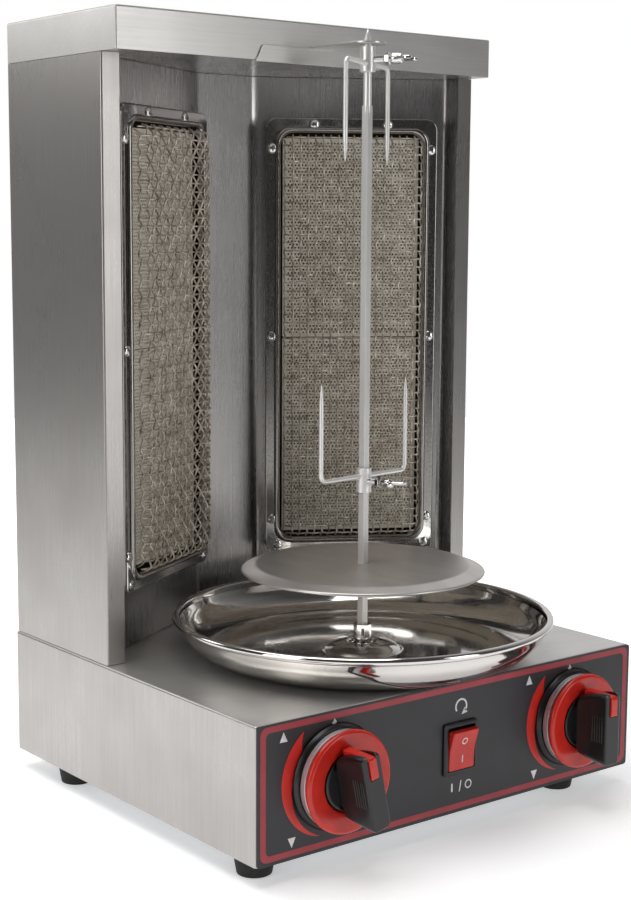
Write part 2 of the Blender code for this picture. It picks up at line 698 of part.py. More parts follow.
def make_inlet(root, finish):
    """The hose tail for the gas supply, through the back of the base."""
    inner = -(BASE_BACK_Y - SHEET - 8.7 * MM)
    wall_in = -(BASE_BACK_Y - SHEET - GAP)
    wall_out = -(BASE_BACK_Y + GAP)
    end = -INLET_END_Y
    bore = 3 * MM
    profile = [
        (bore, inner), (8.5 * MM, inner), (8.5 * MM, wall_in), (6.5 * MM, wall_in), (6.5 * MM, wall_out),
        (9 * MM, wall_out), (9 * MM, wall_out - 6 * MM), (4.6 * MM, wall_out - 6 * MM),
        (4.6 * MM, end + 6 * MM), (5.4 * MM, end + 5 * MM), (4.4 * MM, end), (bore, end),
    ]
    mesh = turned_ring("gas_inlet", profile, SMALL_SIDES)
    face_forward(mesh)
    make_object("gas_inlet", mesh, finish["brass"], root, (INLET_X, 0, PIPE_Z))


def make_gland(root, finish):
    """The empty strain relief where the mains cord would leave the base."""
    wall_in = -(BASE_BACK_Y - SHEET - GAP)
    wall_out = -(BASE_BACK_Y + GAP)
    bore = 3.5 * MM
    profile = [
        (bore, wall_in + 6 * MM), (8.5 * MM, wall_in + 6 * MM), (8.5 * MM, wall_in), (6 * MM, wall_in),
        (6 * MM, wall_out), (8.5 * MM, wall_out), (8.5 * MM, wall_out - 4 * MM),
        (6.5 * MM, wall_out - 12 * MM), (bore, wall_out - 12 * MM),
    ]
    mesh = turned_ring("cord_gland", profile, SMALL_SIDES)
    face_forward(mesh)
    make_object("cord_gland", mesh, finish["black"], root, (GLAND_X, 0, GLAND_Z))


def make_gas_train(root, finish):
    """Everything that carries gas."""
    for side, sign in SIDES:
        make_valve(side, sign, root, finish)
        make_injector(side, sign, root, finish)
        make_gas_tube(side, sign, root, finish)
    make_manifold(root, finish)
    make_inlet(root, finish)
    make_gland(root, finish)


# -------------------------------------------------------------------------- knobs
def make_knob_bezel(name, parent, finish):
    """The black ring fixed to the panel behind the knob."""
    profile = [
        (24 * MM, GAP), (30 * MM, GAP), (30 * MM, 1.4 * MM), (28.6 * MM, BEZEL_PROUD), (24 * MM, BEZEL_PROUD),
    ]
    mesh = face_forward(turned_ring(name, profile, KNOB_SIDES))
    make_object(name, mesh, finish["black"], parent)


def make_knob_trim(name, spin, finish):
    """The satin metal ring between the black body and the red ring."""
    back = BEZEL_PROUD + GAP
    front = SKIRT_PROUD - GAP
    hole = KNOB_RING_HOLE
    profile = [(hole, back), (26.5 * MM, back), (27.5 * MM, back + MM), (27.5 * MM, front), (hole, front)]
    make_object(name, face_forward(turned_ring(name, profile, KNOB_SIDES)), finish["polished"], spin)


def make_knob_body(name, spin, finish):
    """The black body: a round boss and the bar that the fingers hold."""
    back = BEZEL_PROUD + GAP
    boss_radius = KNOB_RING_HOLE - GAP
    profile = [
        (boss_radius - MM, back), (boss_radius, back + MM), (boss_radius, RING_PROUD - 1.5 * MM),
        (boss_radius - 2 * MM, RING_PROUD - MM),
    ]
    body = make_object(name, face_forward(turned(name, profile, KNOB_SIDES)), finish["black"], spin)
    root_proud = RING_PROUD - 3 * MM
    front = KNOB_PROUD
    half = GRIP_HALF_LENGTH
    root = boss_radius - 3 * MM
    levels = (
        (root_proud, GRIP_WIDTH / 2 + 2.2 * MM, -root, root),
        (RING_PROUD + 0.5 * MM, GRIP_WIDTH / 2 + 2.2 * MM, -root, root),
        (RING_PROUD + 0.9 * MM, GRIP_WIDTH / 2 + 2 * MM, -half + 3.2 * MM, half - 4.2 * MM),
        (RING_PROUD + 2.4 * MM, GRIP_WIDTH / 2 + 1.8 * MM, -half + 2.7 * MM, half - 3.7 * MM),
        (front - 1.2 * MM, GRIP_WIDTH / 2, -half, half),
        (front, GRIP_WIDTH / 2 - 1.2 * MM, -half + 1.2 * MM, half - 1.2 * MM),
    )
    loops = []
    for proud, half_width, low, high in levels:
        round_end = rounded_rectangle(half_width, (high - low) / 2, half_width * 0.45, 2)
        middle = (high + low) / 2
        loops.append([Vector((x, -proud, z + middle)) for x, z in round_end])
    grip = make_object(f"{name}_grip", loft(f"{name}_grip", loops), finish["black"], spin)
    join(body, [grip])
    bore = round_tool(f"{name}_bore", STEM_RADIUS + GAP, 0, RING_PROUD, spin, (0, 0, 0), True)
    slot_half = POINTER_WIDTH / 2 + GAP
    seat_back = RING_PROUD + POINTER_THICK
    slot_low = (-slot_half, -KNOB_PROUD - MM, POINTER_FACE_LOW - GAP)
    slot_high = (slot_half, -KNOB_PROUD + POINTER_THICK, half + MM)
    top_low = (-slot_half, -KNOB_PROUD - MM, half - 6 * MM)
    top_high = (slot_half, -seat_back + POINTER_THICK, half + MM)
    face_slot = box_tool(f"{name}_face_slot", slot_low, slot_high, spin)
    top_slot = box_tool(f"{name}_top_slot", top_low, top_high, spin)
    cut(body, [bore, face_slot, top_slot])


def make_knob_ring(name, spin, finish):
    """The red dished ring around the bar."""
    hole = KNOB_RING_HOLE
    outer = KNOB_RING_RADIUS
    profile = [
        (hole, SKIRT_PROUD), (outer - 3 * MM, SKIRT_PROUD), (outer, SKIRT_PROUD + 2.4 * MM),
        (outer - 1.2 * MM, RING_PROUD - 1.4 * MM), (outer - 4 * MM, RING_PROUD),
        (hole + 2.5 * MM, RING_PROUD - 0.4 * MM), (hole, RING_PROUD - 2 * MM),
    ]
    mesh = face_forward(turned_ring(name, profile, KNOB_SIDES))
    make_object(name, mesh, finish["red"], spin)


def make_knob_pointer(name, spin, finish):
    """The red strip let into the bar's top end and bent down its face."""
    high = GRIP_HALF_LENGTH - 1.2 * MM
    back = RING_PROUD + 0.6 * MM
    front = KNOB_PROUD + POINTER_PROUD
    side_view = [
        (-back, high), (-front + 1.5 * MM, high), (-front, high - 1.5 * MM), (-front, POINTER_FACE_LOW + MM),
        (-front + MM, POINTER_FACE_LOW), (-KNOB_PROUD + POINTER_THICK - GAP, POINTER_FACE_LOW),
        (-KNOB_PROUD + POINTER_THICK - GAP, GRIP_HALF_LENGTH - 5.7 * MM), (-back, GRIP_HALF_LENGTH - 5.7 * MM),
    ]
    half = POINTER_WIDTH / 2
    loops = [[Vector((x, y, z)) for y, z in side_view] for x in (-half, half)]
    make_object(name, loft(name, loops, smooth=False), finish["red"], spin)


def make_stem(name, spin, finish):
    """The brass valve stem that the knob turns."""
    start = -(SHELL_FRONT_Y - BASE_FRONT_Y + SHEET + 8 * MM)
    profile = [(STEM_RADIUS, start), (STEM_RADIUS, RING_PROUD - MM)]
    mesh = face_forward(turned(name, profile, SMALL_SIDES))
    make_object(name, mesh, finish["brass"], spin)


def make_knobs(root, finish):
    """Both knobs; each turns about an empty on its stem's axis."""
    for side, sign in SIDES:
        place = (sign * KNOB_X, BASE_FRONT_Y, KNOB_Z)
        fixed = make_empty(f"knob_place_{side}", place, root)
        make_knob_bezel(f"knob_bezel_{side}", fixed, finish)
        spin = make_empty(f"knob_spin_{side}", (0, 0, 0), fixed)
        spin.rotation_euler = (0, -LEFT_KNOB_TURN if side == "left" else 0, 0)
        make_knob_body(f"knob_body_{side}", spin, finish)
        make_knob_trim(f"knob_trim_{side}", spin, finish)
        make_knob_ring(f"knob_ring_{side}", spin, finish)
        make_knob_pointer(f"knob_pointer_{side}", spin, finish)
        make_stem(f"valve_stem_{side}", spin, finish)


# ------------------------------------------------------------------------- switch
def make_switch(root, finish):
    """The rocker switch for the motor: a snap-in body and its rocker."""
    place = (0, BASE_FRONT_Y, SWITCH_Z)
    half_x = SWITCH_WIDTH / 2
    half_z = SWITCH_HEIGHT / 2
    neck_x = half_x - 1.2 * MM
    neck_z = half_z - 1.2 * MM
    sizes = (
        (half_x - MM, half_z - MM, -2.2 * MM), (half_x, half_z, -1.2 * MM), (half_x, half_z, -GAP),
        (neck_x, neck_z, -GAP), (neck_x, neck_z, 18 * MM),
    )
    loops = [upright_loop(rounded_rectangle(x, z, 1.5 * MM, 2), depth) for x, z, depth in sizes]
    body = make_object("switch_body", loft("switch_body", loops), finish["black"], root, place)
    recess_x = ROCKER_WIDTH / 2 + 2 * GAP
    recess_z = ROCKER_HEIGHT / 2 + 0.8 * MM
    recess = box_tool("switch_recess", (-recess_x, -4 * MM, -recess_z), (recess_x, 11 * MM, recess_z), root, place)
    cut(body, [recess])

    tall = ROCKER_HEIGHT / 2
    corner = 4.6 * MM
    valley = 3.2 * MM
    side_view = (
        (-corner, tall), (-valley, 0), (-corner, -tall), (-MM, -tall),
        (valley, -tall + 4.2 * MM), (valley, tall - 4.2 * MM), (-MM, tall),
    )
    loops = []
    for x in (-ROCKER_WIDTH / 2, ROCKER_WIDTH / 2):
        loops.append([Vector((x, y, z)) for y, z in side_view])
    mesh = loft("switch_rocker", loops, smooth=False)
    make_object("switch_rocker", mesh, finish["red"], root, place, (ROCKER_TILT, 0, 0))


# -------------------------------------------------------------------------- drive
def make_drive(root, finish):
    """The gearmotor under the top sheet, its bracket, bush and spit socket."""
    axis = (0, SPIT_Y, 0)
    web_z = GEARBOX_TOP_Z + GAP
    top_z = BASE_TOP_Z - SHEET - GAP
    half_web = GEARBOX_RADIUS + 3 * MM
    path = [
        (-half_web - 12 * MM, top_z - SHEET), (-half_web, top_z - SHEET), (-half_web, web_z),
        (half_web, web_z), (half_web, top_z - SHEET), (half_web + 12 * MM, top_z - SHEET),
    ]
    bracket_mesh = folded_sheet("motor_bracket", path, SHEET, -22 * MM, 22 * MM)
    bracket_mesh.transform(Matrix.Rotation(math.radians(90), 4, "X"))
    bracket = make_object("motor_bracket", bracket_mesh, finish["galvanised"], root, axis)
    shaft_hole = DRIVE_SHAFT_RADIUS + 2.5 * MM
    low, high = web_z - 3 * MM, web_z + 4 * MM
    cut(bracket, [round_tool("bracket_cut", shaft_hole, low, high, root, axis)])

    motor_profile = [
        (MOTOR_RADIUS, GEARBOX_TOP_Z - 42 * MM), (MOTOR_RADIUS, GEARBOX_TOP_Z - 18 * MM),
        (GEARBOX_RADIUS, GEARBOX_TOP_Z - 18 * MM), (GEARBOX_RADIUS, GEARBOX_TOP_Z),
    ]
    make_object("gearmotor", turned("gearmotor", motor_profile, KNOB_SIDES), finish["zinc"], root, axis)

    bush_bore = DRIVE_SHAFT_RADIUS + GAP
    bush_top = BASE_TOP_Z + 1.6 * MM
    flange_low = top_z - 4 * MM
    bush_profile = [
        (bush_bore, flange_low), (9 * MM, flange_low), (9 * MM, top_z), (6.6 * MM, top_z),
        (6.6 * MM, bush_top), (bush_bore, bush_top),
    ]
    make_object("shaft_bush", turned_ring("shaft_bush", bush_profile, SMALL_SIDES), finish["brass"], root, axis)

    shaft = DRIVE_SHAFT_RADIUS
    collar_z = bush_top + GAP
    coupling_profile = [
        (shaft, web_z), (shaft, collar_z), (6.8 * MM, collar_z), (6.8 * MM, collar_z + 2 * MM),
        (CUP_RADIUS - 1.2 * MM, collar_z + 3 * MM), (CUP_RADIUS, collar_z + 4.5 * MM), (CUP_RADIUS, CUP_TOP_Z),
    ]
    coupling = make_object("spit_socket", turned("spit_socket", coupling_profile, SMALL_SIDES), finish["polished"], root, axis)
    half = ROD_SIDE / 2 + GAP
    low = (-half, -half, ROD_FOOT_Z - GAP)
    high = (half, half, CUP_TOP_Z + 2 * MM)
    socket = box_tool("socket_cut", low, high, root, axis, ROD_TURN)
    slot_low = (-0.8 * MM, -2 * CUP_RADIUS, ROD_FOOT_Z + MM)
    slot_high = (0.8 * MM, 2 * CUP_RADIUS, CUP_TOP_Z - 2 * MM)
    slot = box_tool("socket_slot_cut", slot_low, slot_high, root, axis, -math.radians(38))
    cut(coupling, [socket, slot])


# --------------------------------------------------------------------------- spit
def make_spit(root, finish):
    """The spit: a square rod with a round, pointed top, a plate and its collar."""
    axis = (0, SPIT_Y, 0)
    half = ROD_SIDE / 2
    low = (-half, -half, ROD_FOOT_Z)
    high = (half, half, ROD_STEP_Z)
    rod = make_object("spit_rod", block("spit_rod", low, high), finish["polished"], root, axis, (0, 0, ROD_TURN))
    point_profile = [
        (ROD_TOP_RADIUS, ROD_STEP_Z - 4 * MM), (ROD_TOP_RADIUS, ROD_POINT_Z), (0.5 * MM, ROD_TIP_Z),
    ]
    point_mesh = turned("spit_point", point_profile, 12)
    point = make_object("spit_point", point_mesh, finish["polished"], root, axis)
    join(rod, [point])

    underside = PLATE_TOP_Z - PLATE_SHEET
    hole = half * math.sqrt(2) + GAP
    rim_top = PLATE_TOP_Z - PLATE_RIM_DROP
    plate_profile = [
        (hole, underside), (PLATE_FLAT_RADIUS, underside), (PLATE_RADIUS - 0.8 * MM, rim_top - PLATE_SHEET),
        (PLATE_RADIUS, rim_top), (PLATE_RADIUS - 1.2 * MM, rim_top + 0.9 * MM), (PLATE_FLAT_RADIUS, PLATE_TOP_Z),
        (hole, PLATE_TOP_Z),
    ]
    plate_mesh = turned_ring("meat_plate", plate_profile, LARGE_SIDES)
    make_object("meat_plate", plate_mesh, finish["brushed"], root, axis)

    collar_top = underside - GAP
    collar_profile = [
        (hole, collar_top - 10 * MM), (8 * MM, collar_top - 10 * MM), (8 * MM, collar_top), (hole, collar_top),
    ]
    collar_mesh = turned_ring("plate_collar", collar_profile, SMALL_SIDES)
    make_object("plate_collar", collar_mesh, finish["polished"], root, axis)


def fork_prong(name, sign, parent, finish):
    """One bent wire, welded to the hub at one end and pointed at the other."""
    bend = 4 * MM
    start_x = FORK_HUB_RADIUS - 0.8 * MM
    centres = [(start_x, -FORK_BAR_DROP, 1.0)]
    for step in range(6):
        angle = math.radians(90 * step / 5)
        x = FORK_HALF_SPAN - bend + bend * math.sin(angle)
        z = -FORK_BAR_DROP - bend + bend * math.cos(angle)
        centres.append((x, z, 1.0))
    tip_z = -FORK_BAR_DROP - FORK_PRONG
    centres.append((FORK_HALF_SPAN, tip_z + 9 * MM, 1.0))
    centres.append((FORK_HALF_SPAN, tip_z, 0.15))
    loops = []
    for index, (x, z, share) in enumerate(centres):
        turn = math.radians(90 * min(max(index - 1, 0), 5) / 5)
        loop = []
        for corner in range(8):
            angle = math.tau * corner / 8
            across = FORK_WIRE_RADIUS * share * math.cos(angle)
            lift = FORK_WIRE_RADIUS * share * math.sin(angle)
            loop.append(Vector((sign * (x + lift * math.sin(turn)), across, z + lift * math.cos(turn))))
        loops.append(loop)
    return make_object(name, loft(name, loops), finish["polished"], parent)


def make_fork(word, height, turn, flip, root, finish):
    """A fork: a hub bored for the rod, two prongs, and its wing bolt."""
    place = make_empty(f"fork_place_{word}", (0, SPIT_Y, height), root)
    place.rotation_euler = (math.pi if flip else 0, 0, turn)
    half = FORK_HUB_HEIGHT / 2
    bore = ROD_SIDE / math.sqrt(2) + GAP / 2
    name = f"fork_{word}"
    hub_profile = [(FORK_HUB_RADIUS, -half), (FORK_HUB_RADIUS, half)]
    hub = make_object(name, turned(name, hub_profile, SMALL_SIDES), finish["polished"], place)
    prongs = [fork_prong(f"{name}_prong_{side}", sign, place, finish) for side, sign in SIDES]
    join(hub, prongs)
    bolt_sign = 1 if flip else -1
    bore_tool = round_tool(f"{name}_bore", bore, -half - MM, half + MM, place, (0, 0, 0))
    bolt_reach = -bolt_sign * (FORK_HUB_RADIUS + 2 * MM)
    bolt_start = -bolt_sign * MM
    low, high = sorted((bolt_start, bolt_reach))
    bolt_hole = BOLT_RADIUS + GAP
    bolt_tool = round_tool(f"{name}_bolt_cut", bolt_hole, low, high, place, (0, 0, 0), True)
    cut(hub, [bore_tool, bolt_tool])

    bolt_name = f"wing_bolt_{word}"
    start = bore + 0.2 * MM
    profile = [
        (BOLT_RADIUS, start), (BOLT_RADIUS, 11 * MM), (3.6 * MM, 11 * MM), (3.6 * MM, 14 * MM),
        (BOLT_RADIUS + 0.4 * MM, 14.4 * MM), (BOLT_RADIUS + 0.4 * MM, 15.5 * MM), (3.4 * MM, 15.5 * MM),
        (2.8 * MM, BOLT_REACH - 8 * MM),
    ]
    bolt_mesh = face_forward(turned(bolt_name, profile, 12))
    turn_round = math.pi if flip else 0
    bolt = make_object(bolt_name, bolt_mesh, finish["polished"], place, (0, 0, 0), (0, 0, turn_round))
    wing_outline = [
        (-2 * MM, 16.2 * MM), (2 * MM, 16.2 * MM), (WING_HALF_SPAN - 2.5 * MM, 20 * MM),
        (WING_HALF_SPAN, BOLT_REACH - 3 * MM), (WING_HALF_SPAN - 1.5 * MM, BOLT_REACH),
        (WING_HALF_SPAN - 4.5 * MM, BOLT_REACH - 1.5 * MM), (0, BOLT_REACH - 8.5 * MM),
        (-WING_HALF_SPAN + 4.5 * MM, BOLT_REACH - 1.5 * MM), (-WING_HALF_SPAN + 1.5 * MM, BOLT_REACH),
        (-WING_HALF_SPAN, BOLT_REACH - 3 * MM), (-WING_HALF_SPAN + 2.5 * MM, 20 * MM),
    ]
    loops = [[Vector((x, -y, z)) for x, y in wing_outline] for z in (-0.9 * MM, 0.9 * MM)]
    wing_mesh = loft(f"{bolt_name}_wings", loops, smooth=False)
    wings_name = f"{bolt_name}_wings"
    wings = make_object(wings_name, wing_mesh, finish["polished"], place, (0, 0, 0), (0, 0, turn_round))
    join(bolt, [wings])


# ---------------------------------------------------------------------- drip pan
def make_pan(root, finish):
    """The pressed drip pan with a rolled rim and a low dome in the middle."""
    floor_z = BASE_TOP_Z + 2 * GAP
    rim_z = floor_z + PAN_HEIGHT
    hole = PAN_HOLE_RADIUS
    bead = 2.2 * MM
    wall_r = PAN_RADIUS - bead
    underside = [
        (hole, floor_z + 3 * MM), (hole, floor_z + 5.6 * MM), (hole + 1.5 * MM, floor_z + 6.2 * MM),
        (hole + 9 * MM, floor_z + 4.8 * MM), (hole + 13.5 * MM, floor_z + 2.4 * MM),
        (hole + 15.5 * MM, floor_z), (wall_r - 27 * MM, floor_z),
        (wall_r - 17 * MM, floor_z + 2 * MM), (wall_r - 9 * MM, floor_z + 7 * MM),
        (wall_r - 3.4 * MM, floor_z + 14 * MM), (wall_r - MM, rim_z - 2.4 * bead),
    ]
    upper = beside(underside, PAN_SHEET)
    bead_centre = (PAN_RADIUS - bead, rim_z - bead)
    rim = []
    for step in range(6):
        angle = math.radians(-95 + 285 * step / 5)
        x = bead_centre[0] + bead * math.cos(angle)
        z = bead_centre[1] + bead * math.sin(angle)
        rim.append((x, z))
    profile = underside + rim + list(reversed(upper))
    mesh = turned_ring("drip_pan", profile, LARGE_SIDES)
    make_object("drip_pan", mesh, finish["polished"], root, (0, SPIT_Y, 0))


# --------------------------------------------------------------------------- build
def build():
    """Make every piece of the broiler."""
    clear_scene()
    finish = make_materials()
    root = make_empty("broiler", (0, -MIDDLE_Y, 0))
    make_base(root, finish)
    make_column(root, finish)
    make_bracket(root, finish)
    make_burners(root, finish)
    make_gas_train(root, finish)
    make_knobs(root, finish)
    make_switch(root, finish)
    make_drive(root, finish)
    make_spit(root, finish)
    make_fork("upper", UPPER_FORK_Z, UPPER_FORK_TURN, False, root, finish)
    make_fork("lower", LOWER_FORK_Z, ROD_TURN, True, root, finish)
    make_pan(root, finish)


build()
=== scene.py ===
# %% [markdown]
# # A vertical rotisserie broiler
# The imported CAD model gives every size and every moving part. This notebook puts real
# surfaces on it: brushed and polished steel, woven wire over perforated ceramic, moulded
# knobs and a printed panel. The first cell loads the frame.

# %% Load the frame
import math

import bmesh
import bpy
from mathutils import Matrix, Vector


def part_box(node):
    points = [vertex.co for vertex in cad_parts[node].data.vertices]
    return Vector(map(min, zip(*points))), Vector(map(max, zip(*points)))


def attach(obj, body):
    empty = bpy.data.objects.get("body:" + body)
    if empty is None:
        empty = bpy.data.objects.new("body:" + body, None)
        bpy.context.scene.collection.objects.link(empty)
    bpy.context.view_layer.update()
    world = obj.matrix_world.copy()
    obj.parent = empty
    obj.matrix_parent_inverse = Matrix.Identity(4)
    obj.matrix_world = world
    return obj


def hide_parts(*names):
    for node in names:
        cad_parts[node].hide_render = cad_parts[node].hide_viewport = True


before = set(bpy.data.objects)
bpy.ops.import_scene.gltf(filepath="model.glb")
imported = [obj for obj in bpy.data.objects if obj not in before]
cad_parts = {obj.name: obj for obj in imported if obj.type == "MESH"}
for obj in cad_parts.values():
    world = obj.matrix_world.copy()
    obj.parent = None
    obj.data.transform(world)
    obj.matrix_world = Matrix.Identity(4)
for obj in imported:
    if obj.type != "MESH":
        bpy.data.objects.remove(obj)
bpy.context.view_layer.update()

# %% [markdown]
# Sizes are easiest to read in millimetres, measured from the middle of the base casing.
# One function turns such a place into metres in the shared frame. The base casing is
# 261.6 mm deep, so its back face says where the middle is.

# %% Millimetres, and the middle of the base
MM = 0.001
BASE_DEPTH = 261.6
BASE_FRONT = -BASE_DEPTH / 2
MIDDLE_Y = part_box("base_shell")[1].y / MM - BASE_DEPTH / 2
print("the base's middle stands", round(MIDDLE_Y, 2), "mm behind the origin")


def place(x, y, z):
    """A point given in millimetres from the middle of the base, in metres."""
    return Vector((x, y + MIDDLE_Y, z)) * MM


# %% [markdown]
# The camera looks down a little from the front left corner, as a shopper would, at the
# height of the spit. A long lens keeps the casing's edges nearly parallel.

# %% Camera
YAW, PITCH, ROLL = 0.6684, 0.1365, 0.0057      # radians: to the right, down, and tilt
CAMERA_PLACE = Vector((-0.64617, -0.80573, 0.35251))

forward = Vector((math.sin(YAW) * math.cos(PITCH), math.cos(YAW) * math.cos(PITCH), -math.sin(PITCH)))
level = Vector((math.cos(YAW), -math.sin(YAW), 0))
upward = level.cross(forward)
right_axis = level * math.cos(ROLL) + upward * math.sin(ROLL)
up_axis = upward * math.cos(ROLL) - level * math.sin(ROLL)
turn = Matrix((right_axis, up_axis, -forward)).transposed()

camera_data = bpy.data.cameras.new("camera")
camera_data.lens = 66.96
camera_data.sensor_width = 36
camera = bpy.data.objects.new("camera", camera_data)
camera.matrix_world = Matrix.Translation(CAMERA_PLACE) @ turn.to_4x4()
bpy.context.scene.collection.objects.link(camera)
bpy.context.scene.camera = camera
print("camera", round((CAMERA_PLACE - place(0, 0, 235)).length, 3), "m from the broiler")

# %% [markdown]
# Steel shows its surroundings more than its own colour, so the studio matters as much as
# the material. The room is dark behind the camera and brighter at the back, and the floor
# is white. Seen directly, the room is plain white. A world shader can hold all of that.

# %% One function that adds a node


def add_node(tree, kind, inputs=(), **settings):
    """Add a node with its settings; an input takes a value, an output, or a node for its first."""
    node = tree.nodes.new(kind)
    for name, value in settings.items():
        setattr(node, name, value)
    for name, value in dict(inputs).items():
        if isinstance(value, bpy.types.Node):
            value = value.outputs[0]
        if isinstance(value, bpy.types.NodeSocket):
            tree.links.new(value, node.inputs[name])
        else:
            node.inputs[name].default_value = value
    return node


def linear(hexcode):
    """An sRGB hex colour as linear red, green, blue and alpha."""
    parts = [int(hexcode[i:i + 2], 16) / 255 for i in (1, 3, 5)]
    return tuple(p / 12.92 if p <= 0.04045 else ((p + 0.055) / 1.055) ** 2.4 for p in parts) + (1.0,)


# %% World
world = bpy.data.worlds.new("studio")
bpy.context.scene.world = world
world.use_nodes = True
tree = world.node_tree
tree.nodes.clear()
direction = add_node(tree, "ShaderNodeTexCoord").outputs["Generated"]
toward_back = add_node(
    tree, "ShaderNodeVectorMath", {0: direction, 1: (0.62, 0.76, 0.2)}, operation="DOT_PRODUCT")
room = add_node(tree, "ShaderNodeValToRGB", {"Fac": toward_back.outputs["Value"]})
room.color_ramp.elements[0].position = 0.0
room.color_ramp.elements[0].color = (0.06, 0.06, 0.062, 1)
room.color_ramp.elements[1].position = 0.95
room.color_ramp.elements[1].color = (0.7, 0.7, 0.71, 1)
middle = room.color_ramp.elements.new(0.35)
middle.color = (0.17, 0.168, 0.166, 1)
seen = add_node(tree, "ShaderNodeBackground", {"Color": (1, 1, 1, 1), "Strength": 1.0})
lit = add_node(tree, "ShaderNodeBackground", {"Color": room.outputs["Color"], "Strength": 1.0})
ray = add_node(tree, "ShaderNodeLightPath")
mix = add_node(
    tree, "ShaderNodeMixShader",
    {0: ray.outputs["Is Camera Ray"], 1: lit, 2: seen})
add_node(tree, "ShaderNodeOutputWorld", {"Surface": mix})
bpy.context.scene.view_settings.view_transform = "Standard"
print("world has", len(tree.nodes), "nodes")

# %% [markdown]
# Four soft boxes light the broiler: a wide one overhead, a tall one in front that the
# faces turned to the front show at their left, a low one at the left for the casing's side
# and the bar, and a narrow one that draws bright lines in the pan.

# %% Lights


def soft_box(name, where, aim, width, height, watts):
    """A rectangular light that faces a point."""
    data = bpy.data.lights.new(name, "AREA")
    data.shape = "RECTANGLE"
    data.size, data.size_y, data.energy = width, height, watts
    light = bpy.data.objects.new(name, data)
    light.location = where
    light.rotation_euler = (Vector(aim) - Vector(where)).to_track_quat("-Z", "Y").to_euler()
    bpy.context.scene.collection.objects.link(light)
    return light


soft_box("overhead_box", (-0.35, 0.25, 2.0), (0, 0, 0.1), 1.7, 1.7, 30)
soft_box("front_box", (0.62, -1.75, 0.45), (0, 0, 0.3), 0.55, 1.6, 8.5)
soft_box("left_box", (-1.9, -0.15, 0.7), (0, 0, 0.25), 0.8, 1.2, 9)
soft_box("pan_box", (-0.9, 1.3, 0.9), (0, 0, 0.1), 0.5, 0.5, 2.5)

# %% [markdown]
# The floor is a round white table top. It glows more towards its edge, as paper under a
# strong background light does, so it fades into the white room and only the soft shadow
# under the casing shows. The steel mirrors a plainer paper, whose glow fades out
# within a metre, or the casing's side would be as bright as the room.

# %% Floor
floor_mesh = bpy.data.meshes.new("floor")
FLOOR_RADIUS, FLOOR_SIDES = 2.0, 96
rim_angles = [math.tau * i / FLOOR_SIDES for i in range(FLOOR_SIDES)]
rim_points = [(FLOOR_RADIUS * math.cos(a), FLOOR_RADIUS * math.sin(a), 0) for a in rim_angles]
floor_mesh.from_pydata(rim_points, [], [tuple(range(FLOOR_SIDES))])
floor = bpy.data.objects.new("floor", floor_mesh)
paper = bpy.data.materials.new("paper sweep, matt white")
paper.use_nodes = True
tree = paper.node_tree
shader = tree.nodes["Principled BSDF"]
shader.inputs["Base Color"].default_value = (0.93, 0.93, 0.93, 1)
shader.inputs["Roughness"].default_value = 0.9
shader.inputs["Emission Color"].default_value = (1, 1, 1, 1)
spot = add_node(tree, "ShaderNodeTexCoord").outputs["Object"]
from_middle = add_node(tree, "ShaderNodeVectorMath", {0: spot}, operation="LENGTH").outputs["Value"]
glow = add_node(tree, "ShaderNodeMapRange", {
    "Value": from_middle, "From Min": 0.25, "From Max": 0.75, "To Min": 0.36, "To Max": 0.95})
reflected = add_node(tree, "ShaderNodeMapRange", {
    "Value": from_middle, "From Min": 0.4, "From Max": 0.95, "To Min": 0.4, "To Max": 0.0})
direct = add_node(tree, "ShaderNodeLightPath").outputs["Is Camera Ray"]
strength = add_node(tree, "ShaderNodeMix", {0: direct, 2: reflected, 3: glow})
tree.links.new(strength.outputs[0], shader.inputs["Emission Strength"])
floor_mesh.materials.append(paper)
bpy.context.scene.collection.objects.link(floor)

# %% [markdown]
# ## Finishes
# Brushed stainless steel is rolled sheet drawn under an abrasive belt. The belt leaves
# fine parallel scratches about a tenth of a millimetre apart: they are too fine to show
# here, so they are drawn eight times as coarse. They blur reflections along one
# direction and change the shine from place to place. A stretched noise gives both.

# %% Steel sheet


def start_material(name, hexcode, roughness, metallic=0.0):
    """A named Principled material; returns it, its tree, its shader and object coordinates."""
    material = bpy.data.materials.new(name)
    material.use_nodes = True
    tree = material.node_tree
    shader = tree.nodes["Principled BSDF"]
    shader.inputs["Base Color"].default_value = linear(hexcode)
    shader.inputs["Roughness"].default_value = roughness
    shader.inputs["Metallic"].default_value = metallic
    coordinates = add_node(tree, "ShaderNodeTexCoord").outputs["Object"]
    return material, tree, shader, coordinates


